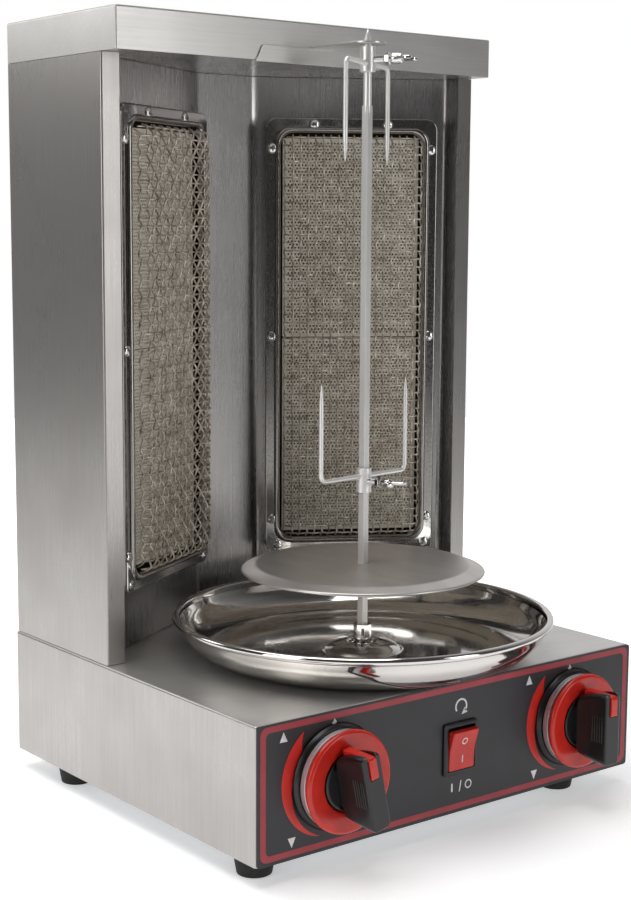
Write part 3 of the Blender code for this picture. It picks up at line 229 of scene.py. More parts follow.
def grained_steel(name, light_hex, dark_hex, roughness, grain, relief, metallic=1.0):
    """Steel whose scratches are grain = (x, y, z) millimetres long, with cloudy wear."""
    material, tree, shader, coordinates = start_material(name, light_hex, roughness[0], metallic)
    stretch = tuple(1 / (length * MM) for length in grain)
    along = add_node(tree, "ShaderNodeMapping", {"Vector": coordinates, "Scale": stretch})
    scratches = add_node(
        tree, "ShaderNodeTexNoise", {"Vector": along, "Scale": 1.0, "Detail": 3.0})
    clouds = add_node(
        tree, "ShaderNodeTexNoise", {"Vector": coordinates, "Scale": 1 / (45 * MM), "Detail": 4.0})
    share = add_node(
        tree, "ShaderNodeMath", {0: scratches.outputs["Fac"], 1: clouds.outputs["Fac"]}, operation="ADD")
    tint = add_node(
        tree, "ShaderNodeMapRange", {"Value": share, "From Min": 0.7, "From Max": 1.3})
    colour = add_node(tree, "ShaderNodeMix", {"Factor": tint}, data_type="RGBA")
    colour.inputs[6].default_value = linear(dark_hex)
    colour.inputs[7].default_value = linear(light_hex)
    tree.links.new(colour.outputs[2], shader.inputs["Base Color"])
    dull = add_node(tree, "ShaderNodeMapRange", {
        "Value": share, "From Min": 0.7, "From Max": 1.3,
        "To Min": roughness[1], "To Max": roughness[0]})
    tree.links.new(dull.outputs[0], shader.inputs["Roughness"])
    bump = add_node(tree, "ShaderNodeBump", {
        "Height": scratches.outputs["Fac"], "Strength": 0.5, "Distance": relief * MM})
    tree.links.new(bump.outputs[0], shader.inputs["Normal"])
    return material


brushed_upright = grained_steel(
    "stainless steel, brushed upright", "#b9b6b3", "#ada9a6", (0.26, 0.33), (0.8, 0.8, 60), 0.01, 0.95)
brushed_across = grained_steel(
    "stainless steel, brushed across", "#dbd9d6", "#cdcac6", (0.28, 0.38), (60, 0.8, 0.8), 0.015, 0.75)
bright_liner = grained_steel(
    "stainless steel, bright rolled", "#bdbab9", "#b1aead", (0.24, 0.3), (1.2, 1.2, 90), 0.0015, 0.92)
plate_steel = grained_steel(
    "stainless steel, linished plate", "#d6d2cd", "#c6c1bc", (0.32, 0.4), (14, 60, 14), 0.004, 0.8)
print("steel sheets:", brushed_upright.name, "and three more")

# %% [markdown]
# Pressed and buffed parts, such as the pan and the burner frames, are mirrors that are not
# quite flat: buffing leaves slow waves in them. A broad noise of a few hundredths of a
# millimetre bends the reflections, and fine hairlines keep the mirror from looking perfect.

# %% Buffed and plated steel


def buffed_steel(name, hexcode, roughness, wave, relief):
    """Mirror steel with slow waves, wave millimetres long and relief millimetres deep."""
    material, tree, shader, coordinates = start_material(name, hexcode, roughness, 1.0)
    waves = add_node(
        tree, "ShaderNodeTexNoise", {"Vector": coordinates, "Scale": 1 / (wave * MM), "Detail": 1.0})
    hairlines = add_node(
        tree, "ShaderNodeTexNoise", {"Vector": coordinates, "Scale": 1 / (1.5 * MM), "Detail": 5.0})
    dull = add_node(tree, "ShaderNodeMapRange", {
        "Value": hairlines.outputs["Fac"], "From Min": 0.35, "From Max": 0.75,
        "To Min": roughness * 0.7, "To Max": roughness * 2.0})
    tree.links.new(dull.outputs[0], shader.inputs["Roughness"])
    bump = add_node(tree, "ShaderNodeBump", {
        "Height": waves.outputs["Fac"], "Strength": 1.0, "Distance": relief * MM})
    tree.links.new(bump.outputs[0], shader.inputs["Normal"])
    return material


buffed_pan = buffed_steel("stainless steel, pressed and buffed", "#dad7d3", 0.07, 28, 0.12)
buffed_frame = buffed_steel("stainless steel, pressed frame", "#a39f9b", 0.13, 40, 0.06)
chrome = buffed_steel("steel, chrome plated", "#e2e1df", 0.06, 6, 0.02)
galvanised = buffed_steel("steel, hot-dip galvanised", "#a9adb0", 0.38, 5, 0.05)
zinc_case = buffed_steel("steel, zinc plated", "#b8b6ae", 0.3, 12, 0.03)
hot_sheet = buffed_steel("aluminised steel, heat-darkened", "#4a443e", 0.5, 9, 0.03)
brass = buffed_steel("brass, machined", "#c9a259", 0.2, 6, 0.02)
copper = buffed_steel("copper, drawn tube", "#c9835a", 0.25, 9, 0.02)

# %% [markdown]
# Cordierite ceramic is a matt, cream, slightly sooty fired clay. Each burner tile is
# drilled with thousands of holes a little over a millimetre wide; the shade inside them
# is painted, as a dark ceramic colour behind the holes.
# The wire over it has been red hot many times, which leaves straw and brown oxide tints.

# %% Ceramic and heat-tinted wire


def mottled(name, light_hex, dark_hex, roughness, patch, metallic=0.0, relief=0.0):
    """A finish that varies between two colours over patches some millimetres across."""
    material, tree, shader, coordinates = start_material(name, light_hex, roughness, metallic)
    patches = add_node(
        tree, "ShaderNodeTexNoise", {"Vector": coordinates, "Scale": 1 / (patch * MM), "Detail": 4.0})
    share = add_node(
        tree, "ShaderNodeMapRange", {"Value": patches.outputs["Fac"], "From Min": 0.35, "From Max": 0.65})
    colour = add_node(tree, "ShaderNodeMix", {"Factor": share}, data_type="RGBA")
    colour.inputs[6].default_value = linear(dark_hex)
    colour.inputs[7].default_value = linear(light_hex)
    tree.links.new(colour.outputs[2], shader.inputs["Base Color"])
    if relief:
        grit = add_node(
            tree, "ShaderNodeTexNoise", {"Vector": coordinates, "Scale": 1 / (0.7 * MM), "Detail": 2.0})
        bump = add_node(tree, "ShaderNodeBump", {
            "Height": grit.outputs["Fac"], "Strength": 0.6, "Distance": relief * MM})
        tree.links.new(bump.outputs[0], shader.inputs["Normal"])
    return material


ceramic = mottled("cordierite ceramic, fired", "#f7f1e6", "#e6dccc", 0.9, 14, relief=0.05)
# Painted shade: a dark ceramic colour that stands for the shadow down the tile's holes.
painted_hole_shade = mottled("cordierite ceramic, painted hole shade", "#4a4036", "#2b241d", 0.95, 6)
hot_wire = mottled("heat-resistant steel wire, oxidised", "#e8dfd2", "#9c9082", 0.42, 7, metallic=0.7)
spit_steel = mottled("stainless steel, ground bar", "#f4f3f1", "#e9e7e4", 0.34, 60, metallic=0.6)
satin_ring = mottled("aluminium, satin turned", "#d6d6d8", "#c6c6c9", 0.42, 40, metallic=0.8)

# %% [markdown]
# The knobs are phenolic resin and the red parts ABS, both moulded: an even colour, a soft
# shine, and a very light orange-peel texture. The panel is a printed polycarbonate film
# with a fine matt texture, and its inks lie on it as thin films. The feet are rubber.

# %% Plastics, inks and rubber
phenolic = mottled("phenolic resin, moulded black", "#131314", "#0d0d0e", 0.28, 10, relief=0.01)
nylon = mottled("nylon, moulded black", "#1b1b1c", "#141415", 0.4, 8, relief=0.01)
red_abs = mottled("ABS, moulded red", "#cc2a1d", "#bd2217", 0.24, 12, relief=0.004)
overlay = mottled("polycarbonate film, printed black", "#222126", "#1e1d21", 0.42, 20, relief=0.006)
border_ink = mottled("screen ink, dark red", "#a2303a", "#962a34", 0.4, 12)
arc_ink = mottled("screen ink, bright red", "#d1271b", "#c42217", 0.36, 12)
white_ink = mottled("screen ink, white", "#e2e2e2", "#cfcfcf", 0.45, 4)
rubber = mottled("rubber, moulded black", "#1c1c1c", "#121212", 0.75, 5, relief=0.03)
print("materials:", len(bpy.data.materials))

# %% [markdown]
# Now the carried-over CAD pieces get their finishes. Most of them are the hidden works:
# motor, taps, pipes, plenum boxes. Their shapes stay as they are.

# %% Finishes for the CAD pieces
CAD_FINISHES = {
    "base_floor_plate": galvanised, "cavity_ceiling": bright_liner, "gas_manifold": galvanised,
    "motor_bracket": galvanised, "gearmotor": zinc_case, "shaft_bush": brass,
}
for side in ("left", "right"):
    CAD_FINISHES[f"burner_housing_{side}"] = hot_sheet
    CAD_FINISHES[f"venturi_{side}"] = galvanised
    CAD_FINISHES[f"injector_{side}"] = brass
    CAD_FINISHES[f"gas_valve_{side}"] = brass
    CAD_FINISHES[f"gas_tube_{side}"] = copper
    CAD_FINISHES[f"valve_stem_{side}"] = brass
for node, finish in CAD_FINISHES.items():
    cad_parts[node].data.materials.clear()
    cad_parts[node].data.materials.append(finish)
print("finished CAD pieces:", len(CAD_FINISHES))

# %% [markdown]
# ## Sheet metal
# A press brake bends sheet round a small radius, and that radius catches a line of light
# on every edge of the casing. The CAD sheets have knife edges, so each one is copied and
# welded, its flat triangles are joined up again, and its folds are rounded with a bevel.

# %% Helpers that finish a piece
SMOOTH_BELOW, SHARP_ABOVE = math.radians(32), math.radians(50)


def put_in_scene(name, mesh):
    """A new object in the scene that holds the mesh."""
    thing = bpy.data.objects.new(name, mesh)
    bpy.context.scene.collection.objects.link(thing)
    return thing


def hand_over(piece, body, replaced=()):
    """Say which body a piece rides on and what it replaces."""
    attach(piece, body)
    if replaced:
        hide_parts(*replaced)
    return piece


def keep_piece(name, work, finishes, body, replaced=()):
    """Turn a bmesh into a finished piece that rides on a body and takes a slot's finish."""
    mesh = bpy.data.meshes.new(name)
    work.to_mesh(mesh)
    work.free()
    for finish in finishes if isinstance(finishes, (list, tuple)) else [finishes]:
        mesh.materials.append(finish)
    mesh.shade_smooth()
    mesh.set_sharp_from_angle(angle=SMOOTH_BELOW)
    piece = put_in_scene(name, mesh)
    piece.modifiers.new("keep flats flat", "WEIGHTED_NORMAL").keep_sharp = True
    return hand_over(piece, body, replaced)


def welded_copy(node):
    """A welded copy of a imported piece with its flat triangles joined."""
    work = bmesh.new()
    work.from_mesh(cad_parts[node].data)
    bmesh.ops.remove_doubles(work, verts=work.verts, dist=2e-6)
    bmesh.ops.dissolve_limit(
        work, angle_limit=math.radians(1), verts=work.verts, edges=work.edges)
    return work


def outer_edges(work, node, walls):
    """Edges that lie in two of the named walls of the piece's box: x, y, z low; X, Y, Z high."""
    low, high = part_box(node)
    levels = {"x": (0, low.x), "y": (1, low.y), "z": (2, low.z),
              "X": (0, high.x), "Y": (1, high.y), "Z": (2, high.z)}
    chosen = []
    for edge in work.edges:
        hits = 0
        for wall in walls:
            axis, level = levels[wall]
            hits += all(abs(vertex.co[axis] - level) < 2e-5 for vertex in edge.verts)
        if hits >= 2:
            chosen.append(edge)
    return chosen


def round_edges(work, edges, radius, steps=4):
    """Bevel edges to a radius in millimetres."""
    bmesh.ops.bevel(
        work, geom=edges, offset=radius * MM, offset_type="OFFSET", segments=steps,
        profile=0.5, affect="EDGES", clamp_overlap=True)


def sharp_edges(work):
    """Edges whose two faces turn away from each other by more than half a right angle."""
    work.normal_update()
    return [edge for edge in work.edges
            if len(edge.link_faces) == 2 and edge.calc_face_angle() > SHARP_ABOVE]


def lay_grain(work):
    """Level faces are brushed across, in the second material; the rest upright."""
    work.normal_update()
    for face in work.faces:
        face.material_index = int(abs(face.normal.z) > 0.7)


# %% [markdown]
# The base casing is one folded box, open below, with the printed panel on its front. Its
# side is brushed upright and its top across, as the sheets were cut.

CASINGS = {
    "base_casing": ("base_shell", "xXyYZ", 1.3, [brushed_upright, brushed_across]),
    "column_casing": ("column_shell", "xXyY", 1.2, brushed_upright),
    "cap_casing": ("top_cap", "xXyYZ", 1.2, brushed_across)}
for name, (node, walls, radius, finish) in CASINGS.items():
    work = welded_copy(node)
    round_edges(work, outer_edges(work, node, walls), radius)
    if node == "base_shell":
        lay_grain(work)
    keep_piece(name, work, finish, "housing", [node])

# %% [markdown]
# The cavity liner is a bright sheet folded along four upright lines. Only those folds are
# rounded. They are found by their place: both ends of the edge share the same x and y.

# %% Cavity liner
MOUTH_FOLD, BACK_FOLD = (136, 38), (24, 102.5)
work = welded_copy("cavity_liner")
folds = []
for edge in work.edges:
    first, second = (vertex.co / MM for vertex in edge.verts)
    upright = (first.xy - second.xy).length < 0.02
    near = any(abs(abs(first.x) - x) < 0.1 and abs(first.y - MIDDLE_Y - y) < 0.1
               for x, y in (MOUTH_FOLD, BACK_FOLD))
    if upright and near:
        folds.append(edge)
round_edges(work, folds, 3.0, 5)
keep_piece("cavity_lining", work, bright_liner, "housing", ["cavity_liner"])
print("liner folds rounded:", len(folds))

# %% [markdown]
# The bracket that holds the top of the spit is a strip of heavier sheet with its tongue
# bent forward, welded to the cap from behind. Its cut edges were linished, so they are
# only just rounded.

# %% Top bracket
work = welded_copy("top_bracket")
round_edges(work, sharp_edges(work), 0.3, 2)
keep_piece("spit_bracket", work, brushed_across, "housing", ["top_bracket"])

# %% [markdown]
# ## Turned and lofted pieces
# Anything round was spun, turned or pressed about an axis. A profile of radius and height
# pairs goes round the axis in small steps. Corners of the profile are eased first, so the
# edge of a turned piece shines as a real one does.

# %% Helpers for outlines, turned pieces and tubes


def ease(points, radius, steps=3, closed=True):
    """Round the corners of a flat outline with short curves of about the given radius."""
    eased = []
    count = len(points)
    for index, point in enumerate(points):
        here = Vector(point)
        if not closed and index in (0, count - 1):
            eased.append(tuple(here))
            continue
        before = Vector(points[index - 1]) - here
        after = Vector(points[(index + 1) % count]) - here
        reach = min(radius, 0.45 * before.length, 0.45 * after.length)
        start = here + before.normalized() * reach
        end = here + after.normalized() * reach
        for step in range(steps + 1):
            share = step / steps
            eased.append(tuple(start.lerp(here, share).lerp(here.lerp(end, share), share)))
    return eased


def skin(work, loops, closed_row=False, material_index=0):
    """Join a row of equal closed loops of points; an open row gets flat ends."""
    rows = [[work.verts.new(point) for point in loop] for loop in loops]
    count = len(rows[0])
    pairs = list(zip(rows, rows[1:])) + ([(rows[-1], rows[0])] if closed_row else [])
    faces = []
    for here, there in pairs:
        for index in range(count):
            after = (index + 1) % count
            faces.append(work.faces.new((here[index], here[after], there[after], there[index])))
    if not closed_row:
        faces.append(work.faces.new(rows[0]))
        faces.append(work.faces.new(rows[-1]))
    for face in faces:
        face.material_index = material_index
    bmesh.ops.recalc_face_normals(work, faces=faces)
    return faces


def turn_profile(work, profile, matrix, segments=96, ring=True):
    """Turn (radius, height) pairs, in millimetres, about the matrix's own Z axis.

    A ring's profile is a closed section clear of the axis; a plain one has flat ends.
    """
    spins = [math.tau * index / segments for index in range(segments)]
    if ring:
        loops = [[matrix @ (Vector((r * math.cos(a), r * math.sin(a), z)) * MM) for r, z in profile]
                 for a in spins]
    else:
        loops = [[matrix @ (Vector((r * math.cos(a), r * math.sin(a), z)) * MM) for a in spins]
                 for r, z in profile]
    return skin(work, loops, closed_row=ring)


def keep_turned(name, profile, matrix, finish, body, node, segments=48, ring=True):
    """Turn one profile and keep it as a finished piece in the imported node's place."""
    work = bmesh.new()
    turn_profile(work, profile, matrix, segments, ring)
    return keep_piece(name, work, finish, body, [node])


def run_tube(work, points, radii, sides=12):
    """Sweep a circle along points in metres; radii in millimetres, one for each point."""
    points = [Vector(point) for point in points]
    tangents = []
    for index in range(len(points)):
        before = points[max(index - 1, 0)]
        after = points[min(index + 1, len(points) - 1)]
        tangents.append((after - before).normalized())
    across = tangents[0].orthogonal().normalized()
    loops = []
    for point, tangent, radius in zip(points, tangents, radii):
        across = (across - tangent * across.dot(tangent)).normalized()
        other = tangent.cross(across)
        loops.append([point + (across * math.cos(a) + other * math.sin(a)) * radius * MM
                      for a in (math.tau * index / sides for index in range(sides))])
    return skin(work, loops)


def rounded_rectangle(half_width, half_height, radius, arc_steps=8):
    """(x, y) pairs around a rectangle with round corners."""
    points = []
    for sign_x, sign_y, start in ((1, 1, 0), (-1, 1, 90), (-1, -1, 180), (1, -1, 270)):
        for step in range(arc_steps + 1):
            angle = math.radians(start + 90 * step / arc_steps)
            points.append((sign_x * (half_width - radius) + radius * math.cos(angle),
                           sign_y * (half_height - radius) + radius * math.sin(angle)))
    return points


def on_axis(x, y, z=0.0, turn=0.0):
    """A matrix that stands at a place in millimetres, turned about the upright axis."""
    return Matrix.Translation(place(x, y, z)) @ Matrix.Rotation(turn, 4, "Z")


def facing_front(x, z, turn=0.0):
    """A matrix on the panel's face: its own Z points to the front, its own Y up."""
    upright = Matrix.Translation(place(x, BASE_FRONT, z)) @ Matrix.Rotation(turn, 4, "Y")
    return upright @ Matrix.Rotation(math.radians(90), 4, "X")


# %% [markdown]
# The drip pan is pressed from thin sheet: a low dome in the middle keeps the fat from
# the drive shaft, a wide flat floor and a deep radius lead up to the wall, and the rim is
# rolled outward into a bead. It is the shiniest piece, so its outline is the smoothest.

# %% Drip pan
SPIT_Y = -42.5
PAN_RADIUS, PAN_FLOOR, PAN_RIM, PAN_SHEET, BEAD = 116.5, 90.2, 115.2, 0.8, 2.2
HOLE = 9.0
wall = PAN_RADIUS - BEAD
dome = [(0, 3), (0, 5.6), (1.5, 6.2), (9, 4.8), (13.5, 2.4), (15.5, 0)]
bowl = [(27, 0), (17, 2), (9, 7), (3.4, 14), (1, PAN_RIM - 2.4 * BEAD - PAN_FLOOR)]
underside = [(HOLE + out, PAN_FLOOR + up) for out, up in dome]
underside += [(wall - inward, PAN_FLOOR + up) for inward, up in bowl]


def moved_aside(path, distance):
    """The open path moved to its left by a distance."""
    moved = []
    for index, point in enumerate(path):
        run = Vector(path[min(index + 1, len(path) - 1)]) - Vector(path[max(index - 1, 0)])
        normal = Vector((-run.y, run.x)).normalized()
        moved.append(tuple(Vector(point) + normal * distance))
    return moved


smooth_under = ease(underside, 5.0, 5, closed=False)
smooth_upper = moved_aside(smooth_under, PAN_SHEET)
rolled = []
for step in range(13):
    angle = math.radians(-95 + 285 * step / 12)
    rolled.append((wall + BEAD * math.cos(angle), PAN_RIM - BEAD + BEAD * math.sin(angle)))
pan_profile = smooth_under + rolled + list(reversed(smooth_upper))
spit_axis = on_axis(0, SPIT_Y)
keep_turned("fat_pan", pan_profile, spit_axis, buffed_pan, "pan", "drip_pan", 144)
print("pan profile points:", len(pan_profile))

# %% [markdown]
# The spit is ground square bar with a turned, pointed top that runs in the bracket. The
# meat plate is spun from heavier sheet with its rim turned down, and a collar under it
# sits on the bar. The socket is a cup with a square hole and a slot cut across it.

# %% Spit, plate and collar
ROD_TURN = math.radians(8.4)
ROD_HALF, ROD_ENDS = 2.3, (99.5, 419.5)
work = bmesh.new()
square = ease([(x * ROD_HALF, y * ROD_HALF) for x, y in ((-1, -1), (1, -1), (1, 1), (-1, 1))], 0.4)
rod_axis = on_axis(0, SPIT_Y, 0, ROD_TURN)
skin(work, [[rod_axis @ (Vector((x, y, z)) * MM) for x, y in square] for z in ROD_ENDS])
point_profile = [(2.45, ROD_ENDS[1] - 4), (2.45, 456.0), (2.2, 457.4), (1.2, 461.0),
                 (0.35, 463.4), (0.1, 463.6)]
turn_profile(work, point_profile, spit_axis, segments=32, ring=False)
keep_piece("spit_bar", work, spit_steel, "spit", ["spit_rod"])

PLATE_TOP = 144.8
plate_profile = ease([
    (3.6, PLATE_TOP - 1.2), (66, PLATE_TOP - 1.2), (73.6, PLATE_TOP - 4.8), (74.5, PLATE_TOP - 4.0),
    (74.0, PLATE_TOP - 2.9), (66, PLATE_TOP), (3.6, PLATE_TOP)], 1.6, 4)
keep_turned("plate_disc", plate_profile, spit_axis, plate_steel, "spit", "meat_plate", 144)

collar_profile = ease([
    (3.6, PLATE_TOP - 11.5), (8, PLATE_TOP - 11.5), (8, PLATE_TOP - 1.5), (3.6, PLATE_TOP - 1.5)], 0.6)
keep_turned("plate_boss", collar_profile, spit_axis, spit_steel, "spit",
            "plate_collar", 40)

# %% [markdown]
# Holes and slots in solid pieces are cut with exact booleans. The cutters are made the
# same way as any piece, used once and thrown away, so only plain meshes are left.

# %% A helper that cuts


def cut_away(work, cutters):
    """Cut each cutter, a bmesh, out of the bmesh, and return the result."""
    base_mesh = bpy.data.meshes.new("being_cut")
    work.to_mesh(base_mesh)
    work.free()
    base = put_in_scene("being_cut", base_mesh)
    tools = []
    for cutter in cutters:
        mesh = bpy.data.meshes.new("cutter")
        cutter.to_mesh(mesh)
        cutter.free()
        tool = put_in_scene("cutter", mesh)
        change = base.modifiers.new("cut", "BOOLEAN")
        change.object, change.operation, change.solver = tool, "DIFFERENCE", "EXACT"
        tools.append(tool)
    bpy.context.view_layer.update()
    result = bmesh.new()
    evaluated = base.evaluated_get(bpy.context.evaluated_depsgraph_get())
    result.from_mesh(evaluated.to_mesh())
    evaluated.to_mesh_clear()
    for spent in [base, *tools]:
        bpy.data.objects.remove(spent)
    return result


def box_solid(matrix, low, high, corner=0.0):
    """A box between two corners, in the matrix's own millimetres, as a bmesh."""
    work = bmesh.new()
    half_x, half_y = (high[0] - low[0]) / 2, (high[1] - low[1]) / 2
    middle = ((high[0] + low[0]) / 2, (high[1] + low[1]) / 2)
    outline = (rounded_rectangle(half_x, half_y, corner, 4) if corner
               else [(half_x, half_y), (-half_x, half_y), (-half_x, -half_y), (half_x, -half_y)])
    skin(work, [[matrix @ (Vector((x + middle[0], y + middle[1], z)) * MM) for x, y in outline]
                for z in (low[2], high[2])])
    return work


# %% Spit socket
cup_profile = ease([
    (3.5, 61.0), (3.5, 91.5), (6.8, 91.5), (6.8, 93.5), (4.3, 94.5), (5.5, 96.0), (5.5, 107.0)],
    0.7, 3, closed=False)
work = bmesh.new()
turn_profile(work, cup_profile, spit_axis, segments=48, ring=False)
socket_turn = on_axis(0, SPIT_Y, 0, ROD_TURN)
slot_turn = on_axis(0, SPIT_Y, 0, math.radians(-38))
work = cut_away(work, [
    box_solid(socket_turn, (-2.6, -2.6, 99.2), (2.6, 2.6, 109)),
    box_solid(slot_turn, (-0.8, -11, 100.5), (0.8, 11, 105))])
keep_piece("drive_cup", work, chrome, "spit", ["spit_socket"])

# %% [markdown]
# A fork is a hub bored for the bar with a wire welded to each side, bent through a right
# angle and ground to a point. The wire is swept along the bend's own curve. A wing bolt
# through the hub holds the fork at any height on the bar.

# %% Forks
HUB_RADIUS, HUB_HALF = 4.7, 7.5
HALF_SPAN, PRONG, WIRE, BAR_DROP, BEND = 38, 58, 1.4, 2.5, 4


def fork_matrix(height, turn, flip):
    """Where a fork stands: flipped forks point their prongs up."""
    matrix = on_axis(0, SPIT_Y, height, turn)
    return matrix @ Matrix.Rotation(math.pi if flip else 0, 4, "X")


def make_fork(name, node, body, matrix):
    """The hub with its bore and both prongs."""
    bore = ROD_HALF * math.sqrt(2) + 0.15
    work = bmesh.new()
    hub = ease([
        (bore, -HUB_HALF), (HUB_RADIUS, -HUB_HALF), (HUB_RADIUS, HUB_HALF), (bore, HUB_HALF)], 0.5)
    turn_profile(work, hub, matrix, segments=40)
    for sign in (-1, 1):
        points = [(reach, -BAR_DROP) for reach in (HUB_RADIUS - 1, HUB_RADIUS + 1.2, HALF_SPAN - BEND - 8)]
        for step in range(9):
            angle = math.radians(90 * step / 8)
            points.append((HALF_SPAN - BEND + BEND * math.sin(angle),
                           -BAR_DROP - BEND + BEND * math.cos(angle)))
        tip = -BAR_DROP - PRONG
        points += [(HALF_SPAN, tip + rise) for rise in (20, 11, 5, 0)]
        radii = [WIRE * share for share in (1.35, 1.1)] + [WIRE] * (len(points) - 5)
        radii += [WIRE * share for share in (0.97, 0.62, 0.12)]
        run_tube(work, [matrix @ (Vector((sign * x, 0, z)) * MM) for x, z in points], radii, 14)
    return keep_piece(name, work, spit_steel, body, [node])


upper_place = fork_matrix(446.3, math.radians(31), False)
lower_place = fork_matrix(196.3, ROD_TURN, True)
make_fork("prongs_upper", "fork_upper", "upper_fork", upper_place)
make_fork("prongs_lower", "fork_lower", "lower_fork", lower_place)

# %% [markdown]
# The wing bolts are cast: a threaded shank, a hexagon nut that locks it, and a head that
# spreads into two ears. The thread is a row of fine ridges on the shank's outline,
# without a lead.

# %% Wing bolts


def make_wing_bolt(name, node, body, matrix, flip):
    """The shank, lock nut and winged head, pointing out of the fork's hub."""
    half_turn = Matrix.Rotation(math.pi if flip else 0, 4, "Z")
    outward = matrix @ half_turn @ Matrix.Rotation(math.radians(90), 4, "X")
    work = bmesh.new()
    shank = [(1.6, 3.7)]
    ridge = 4.2
    while ridge < 10.6:
        shank += [(1.75, ridge), (2.0, ridge + 0.35)]
        ridge += 0.7
    shank += [(2.0, 11.0), (2.0, 15.0)]
    turn_profile(work, shank, outward, segments=20, ring=False)
    corners = [math.radians(a) for a in range(30, 390, 60)]
    nut = [(3.6 * math.cos(a), 3.6 * math.sin(a)) for a in corners]
    skin(work, [[outward @ (Vector((x * s, y * s, z)) * MM) for x, y in nut]
                for s, z in ((0.9, 11.0), (1.0, 11.4), (1.0, 13.6), (0.9, 14.0))])
    head = ease([(2.4, 14.4), (3.4, 15.6), (3.3, 18.5), (2.7, 21.2), (1.6, 21.8)], 0.8, 3, closed=False)
    turn_profile(work, head, outward, segments=28, ring=False)
    ears = ease([
        (-2.2, 16.2), (2.2, 16.2), (5.6, 19.6), (8.0, 25.6), (6.9, 28.9), (3.9, 27.6), (0, 20.6),
        (-3.9, 27.6), (-6.9, 28.9), (-8.0, 25.6), (-5.6, 19.6)], 1.4, 3)
    thin = inset_outline(ears, 0.35)
    skin(work, [[outward @ (Vector((x, depth, z)) * MM) for x, z in shape]
                for shape, depth in ((thin, -0.95), (ears, -0.6), (ears, 0.6), (thin, 0.95))])
    return keep_piece(name, work, chrome, body, [node])


def inset_outline(points, distance):
    """A closed outline moved inward by a distance, point by point."""
    area = sum(a[0] * b[1] - b[0] * a[1] for a, b in zip(points, points[1:] + points[:1]))
    sign = 1 if area > 0 else -1
    moved = []
    for index, point in enumerate(points):
        run = Vector(points[(index + 1) % len(points)]) - Vector(points[index - 1])
        normal = Vector((-run.y, run.x)).normalized() * sign
        moved.append(tuple(Vector(point) + normal * distance))
    return moved


make_wing_bolt("wing_screw_upper", "wing_bolt_upper", "upper_bolt", upper_place, False)
make_wing_bolt("wing_screw_lower", "wing_bolt_lower", "lower_bolt", lower_place, True)
print("spit pieces are done")

# %% [markdown]
# ## Burners
# Each burner hangs on a panel of the liner that turns towards the spit. A matrix stands in
# the middle of that panel: its own X runs along the panel, Z up, and minus Y to the spit.

# %% Where the burners are
PANEL_TURN = math.atan2(BACK_FOLD[1] - MOUTH_FOLD[1], MOUTH_FOLD[0] - BACK_FOLD[0])
FROM_BACK_FOLD = 64
BURNER_X = BACK_FOLD[0] + FROM_BACK_FOLD * math.cos(PANEL_TURN)
BURNER_Y = BACK_FOLD[1] - FROM_BACK_FOLD * math.sin(PANEL_TURN)
BURNER_Z = 274.0
SCREEN_WIDTH, SCREEN_HEIGHT, SCREEN_CORNER = 96.0, 271.5, 9.0
FLANGE, PROUD = 10.2, 10.0
FACE = PROUD + 1.5
SIDES = (("left", -1), ("right", 1))
burner_place = {
    side: on_axis(sign * BURNER_X, BURNER_Y, BURNER_Z, -sign * PANEL_TURN) for side, sign in SIDES}
print("panels turn", round(math.degrees(PANEL_TURN), 1), "degrees")

# %% [markdown]
# The frame is one pressing, a shallow tray: side walls, a flat flange, and a round bead
# that grips the edge of the screen. The section below goes from the opening outward and
# down the wall; the loops follow it round.

# %% Burner frames


def make_burner_frame(side):
    """A lofted ring: opening, bead, flange, the rounded bend and the side wall."""
    section = []
    for step in range(9):
        angle = math.pi - math.pi * step / 8
        section.append((2.1 + 2.1 * math.cos(angle), FACE + 0.1 + 2.6 * math.sin(angle), SCREEN_CORNER))
    section += [(4.7, FACE, 9.2), (FLANGE - 1.2, FACE, 4.0)]
    for step in range(1, 5):
        angle = math.radians(90 - 90 * step / 4)
        section.append((FLANGE - 1.2 + 1.2 * math.cos(angle), FACE - 1.2 + 1.2 * math.sin(angle), 4.4))
    section += [(FLANGE, 0.9, 4.4), (FLANGE, 0.3, 4.4), (FLANGE - 1.2, 0.3, 3.6),
                (FLANGE - 1.2, FACE - 1.2, 3.6), (0.0, FACE - 1.2, SCREEN_CORNER)]
    work = bmesh.new()
    loops = []
    for grow, height, corner in section:
        outline = rounded_rectangle(
            SCREEN_WIDTH / 2 + grow, SCREEN_HEIGHT / 2 + grow, corner + grow * 0.3, 8)
        loops.append([burner_place[side] @ (Vector((x, -height, z)) * MM) for x, z in outline])
    skin(work, loops, closed_row=True)
    name = f"burner_surround_{side}"
    return keep_piece(name, work, buffed_frame, "housing", [f"burner_frame_{side}"])


for side, _ in SIDES:
    made = make_burner_frame(side)
    print(made.name, len(made.data.polygons), "faces")

# %% [markdown]
# The screen is woven from crimped wire: every wire goes over one crossing wire and under
# the next. Geometry Nodes suit it. Straight wires are laid in rows and columns, a wave
# lifts them at every other crossing, and a dome function pushes the whole weave forward.
# The dome rises quickly from the edge and flattens towards the middle.

# %% A helper that runs a node tree once


def grow_mesh(name, tree, inputs, source=None):
    """Run a Geometry Nodes tree on a source mesh and keep the plain mesh it makes."""
    mesh = source or bpy.data.meshes.new(name)
    carrier = put_in_scene(name, mesh)
    change = carrier.modifiers.new("grow", "NODES")
    change.node_group = tree
    sockets = {item.name: item.identifier for item in tree.interface.items_tree
               if item.item_type == "SOCKET" and item.in_out == "INPUT"}
    for label, value in inputs.items():
        change[sockets[label]] = value
    bpy.context.view_layer.update()
    depsgraph = bpy.context.evaluated_depsgraph_get()
    grown = bpy.data.meshes.new_from_object(carrier.evaluated_get(depsgraph))
    bpy.data.objects.remove(carrier)
    grown.name = name
    return grown


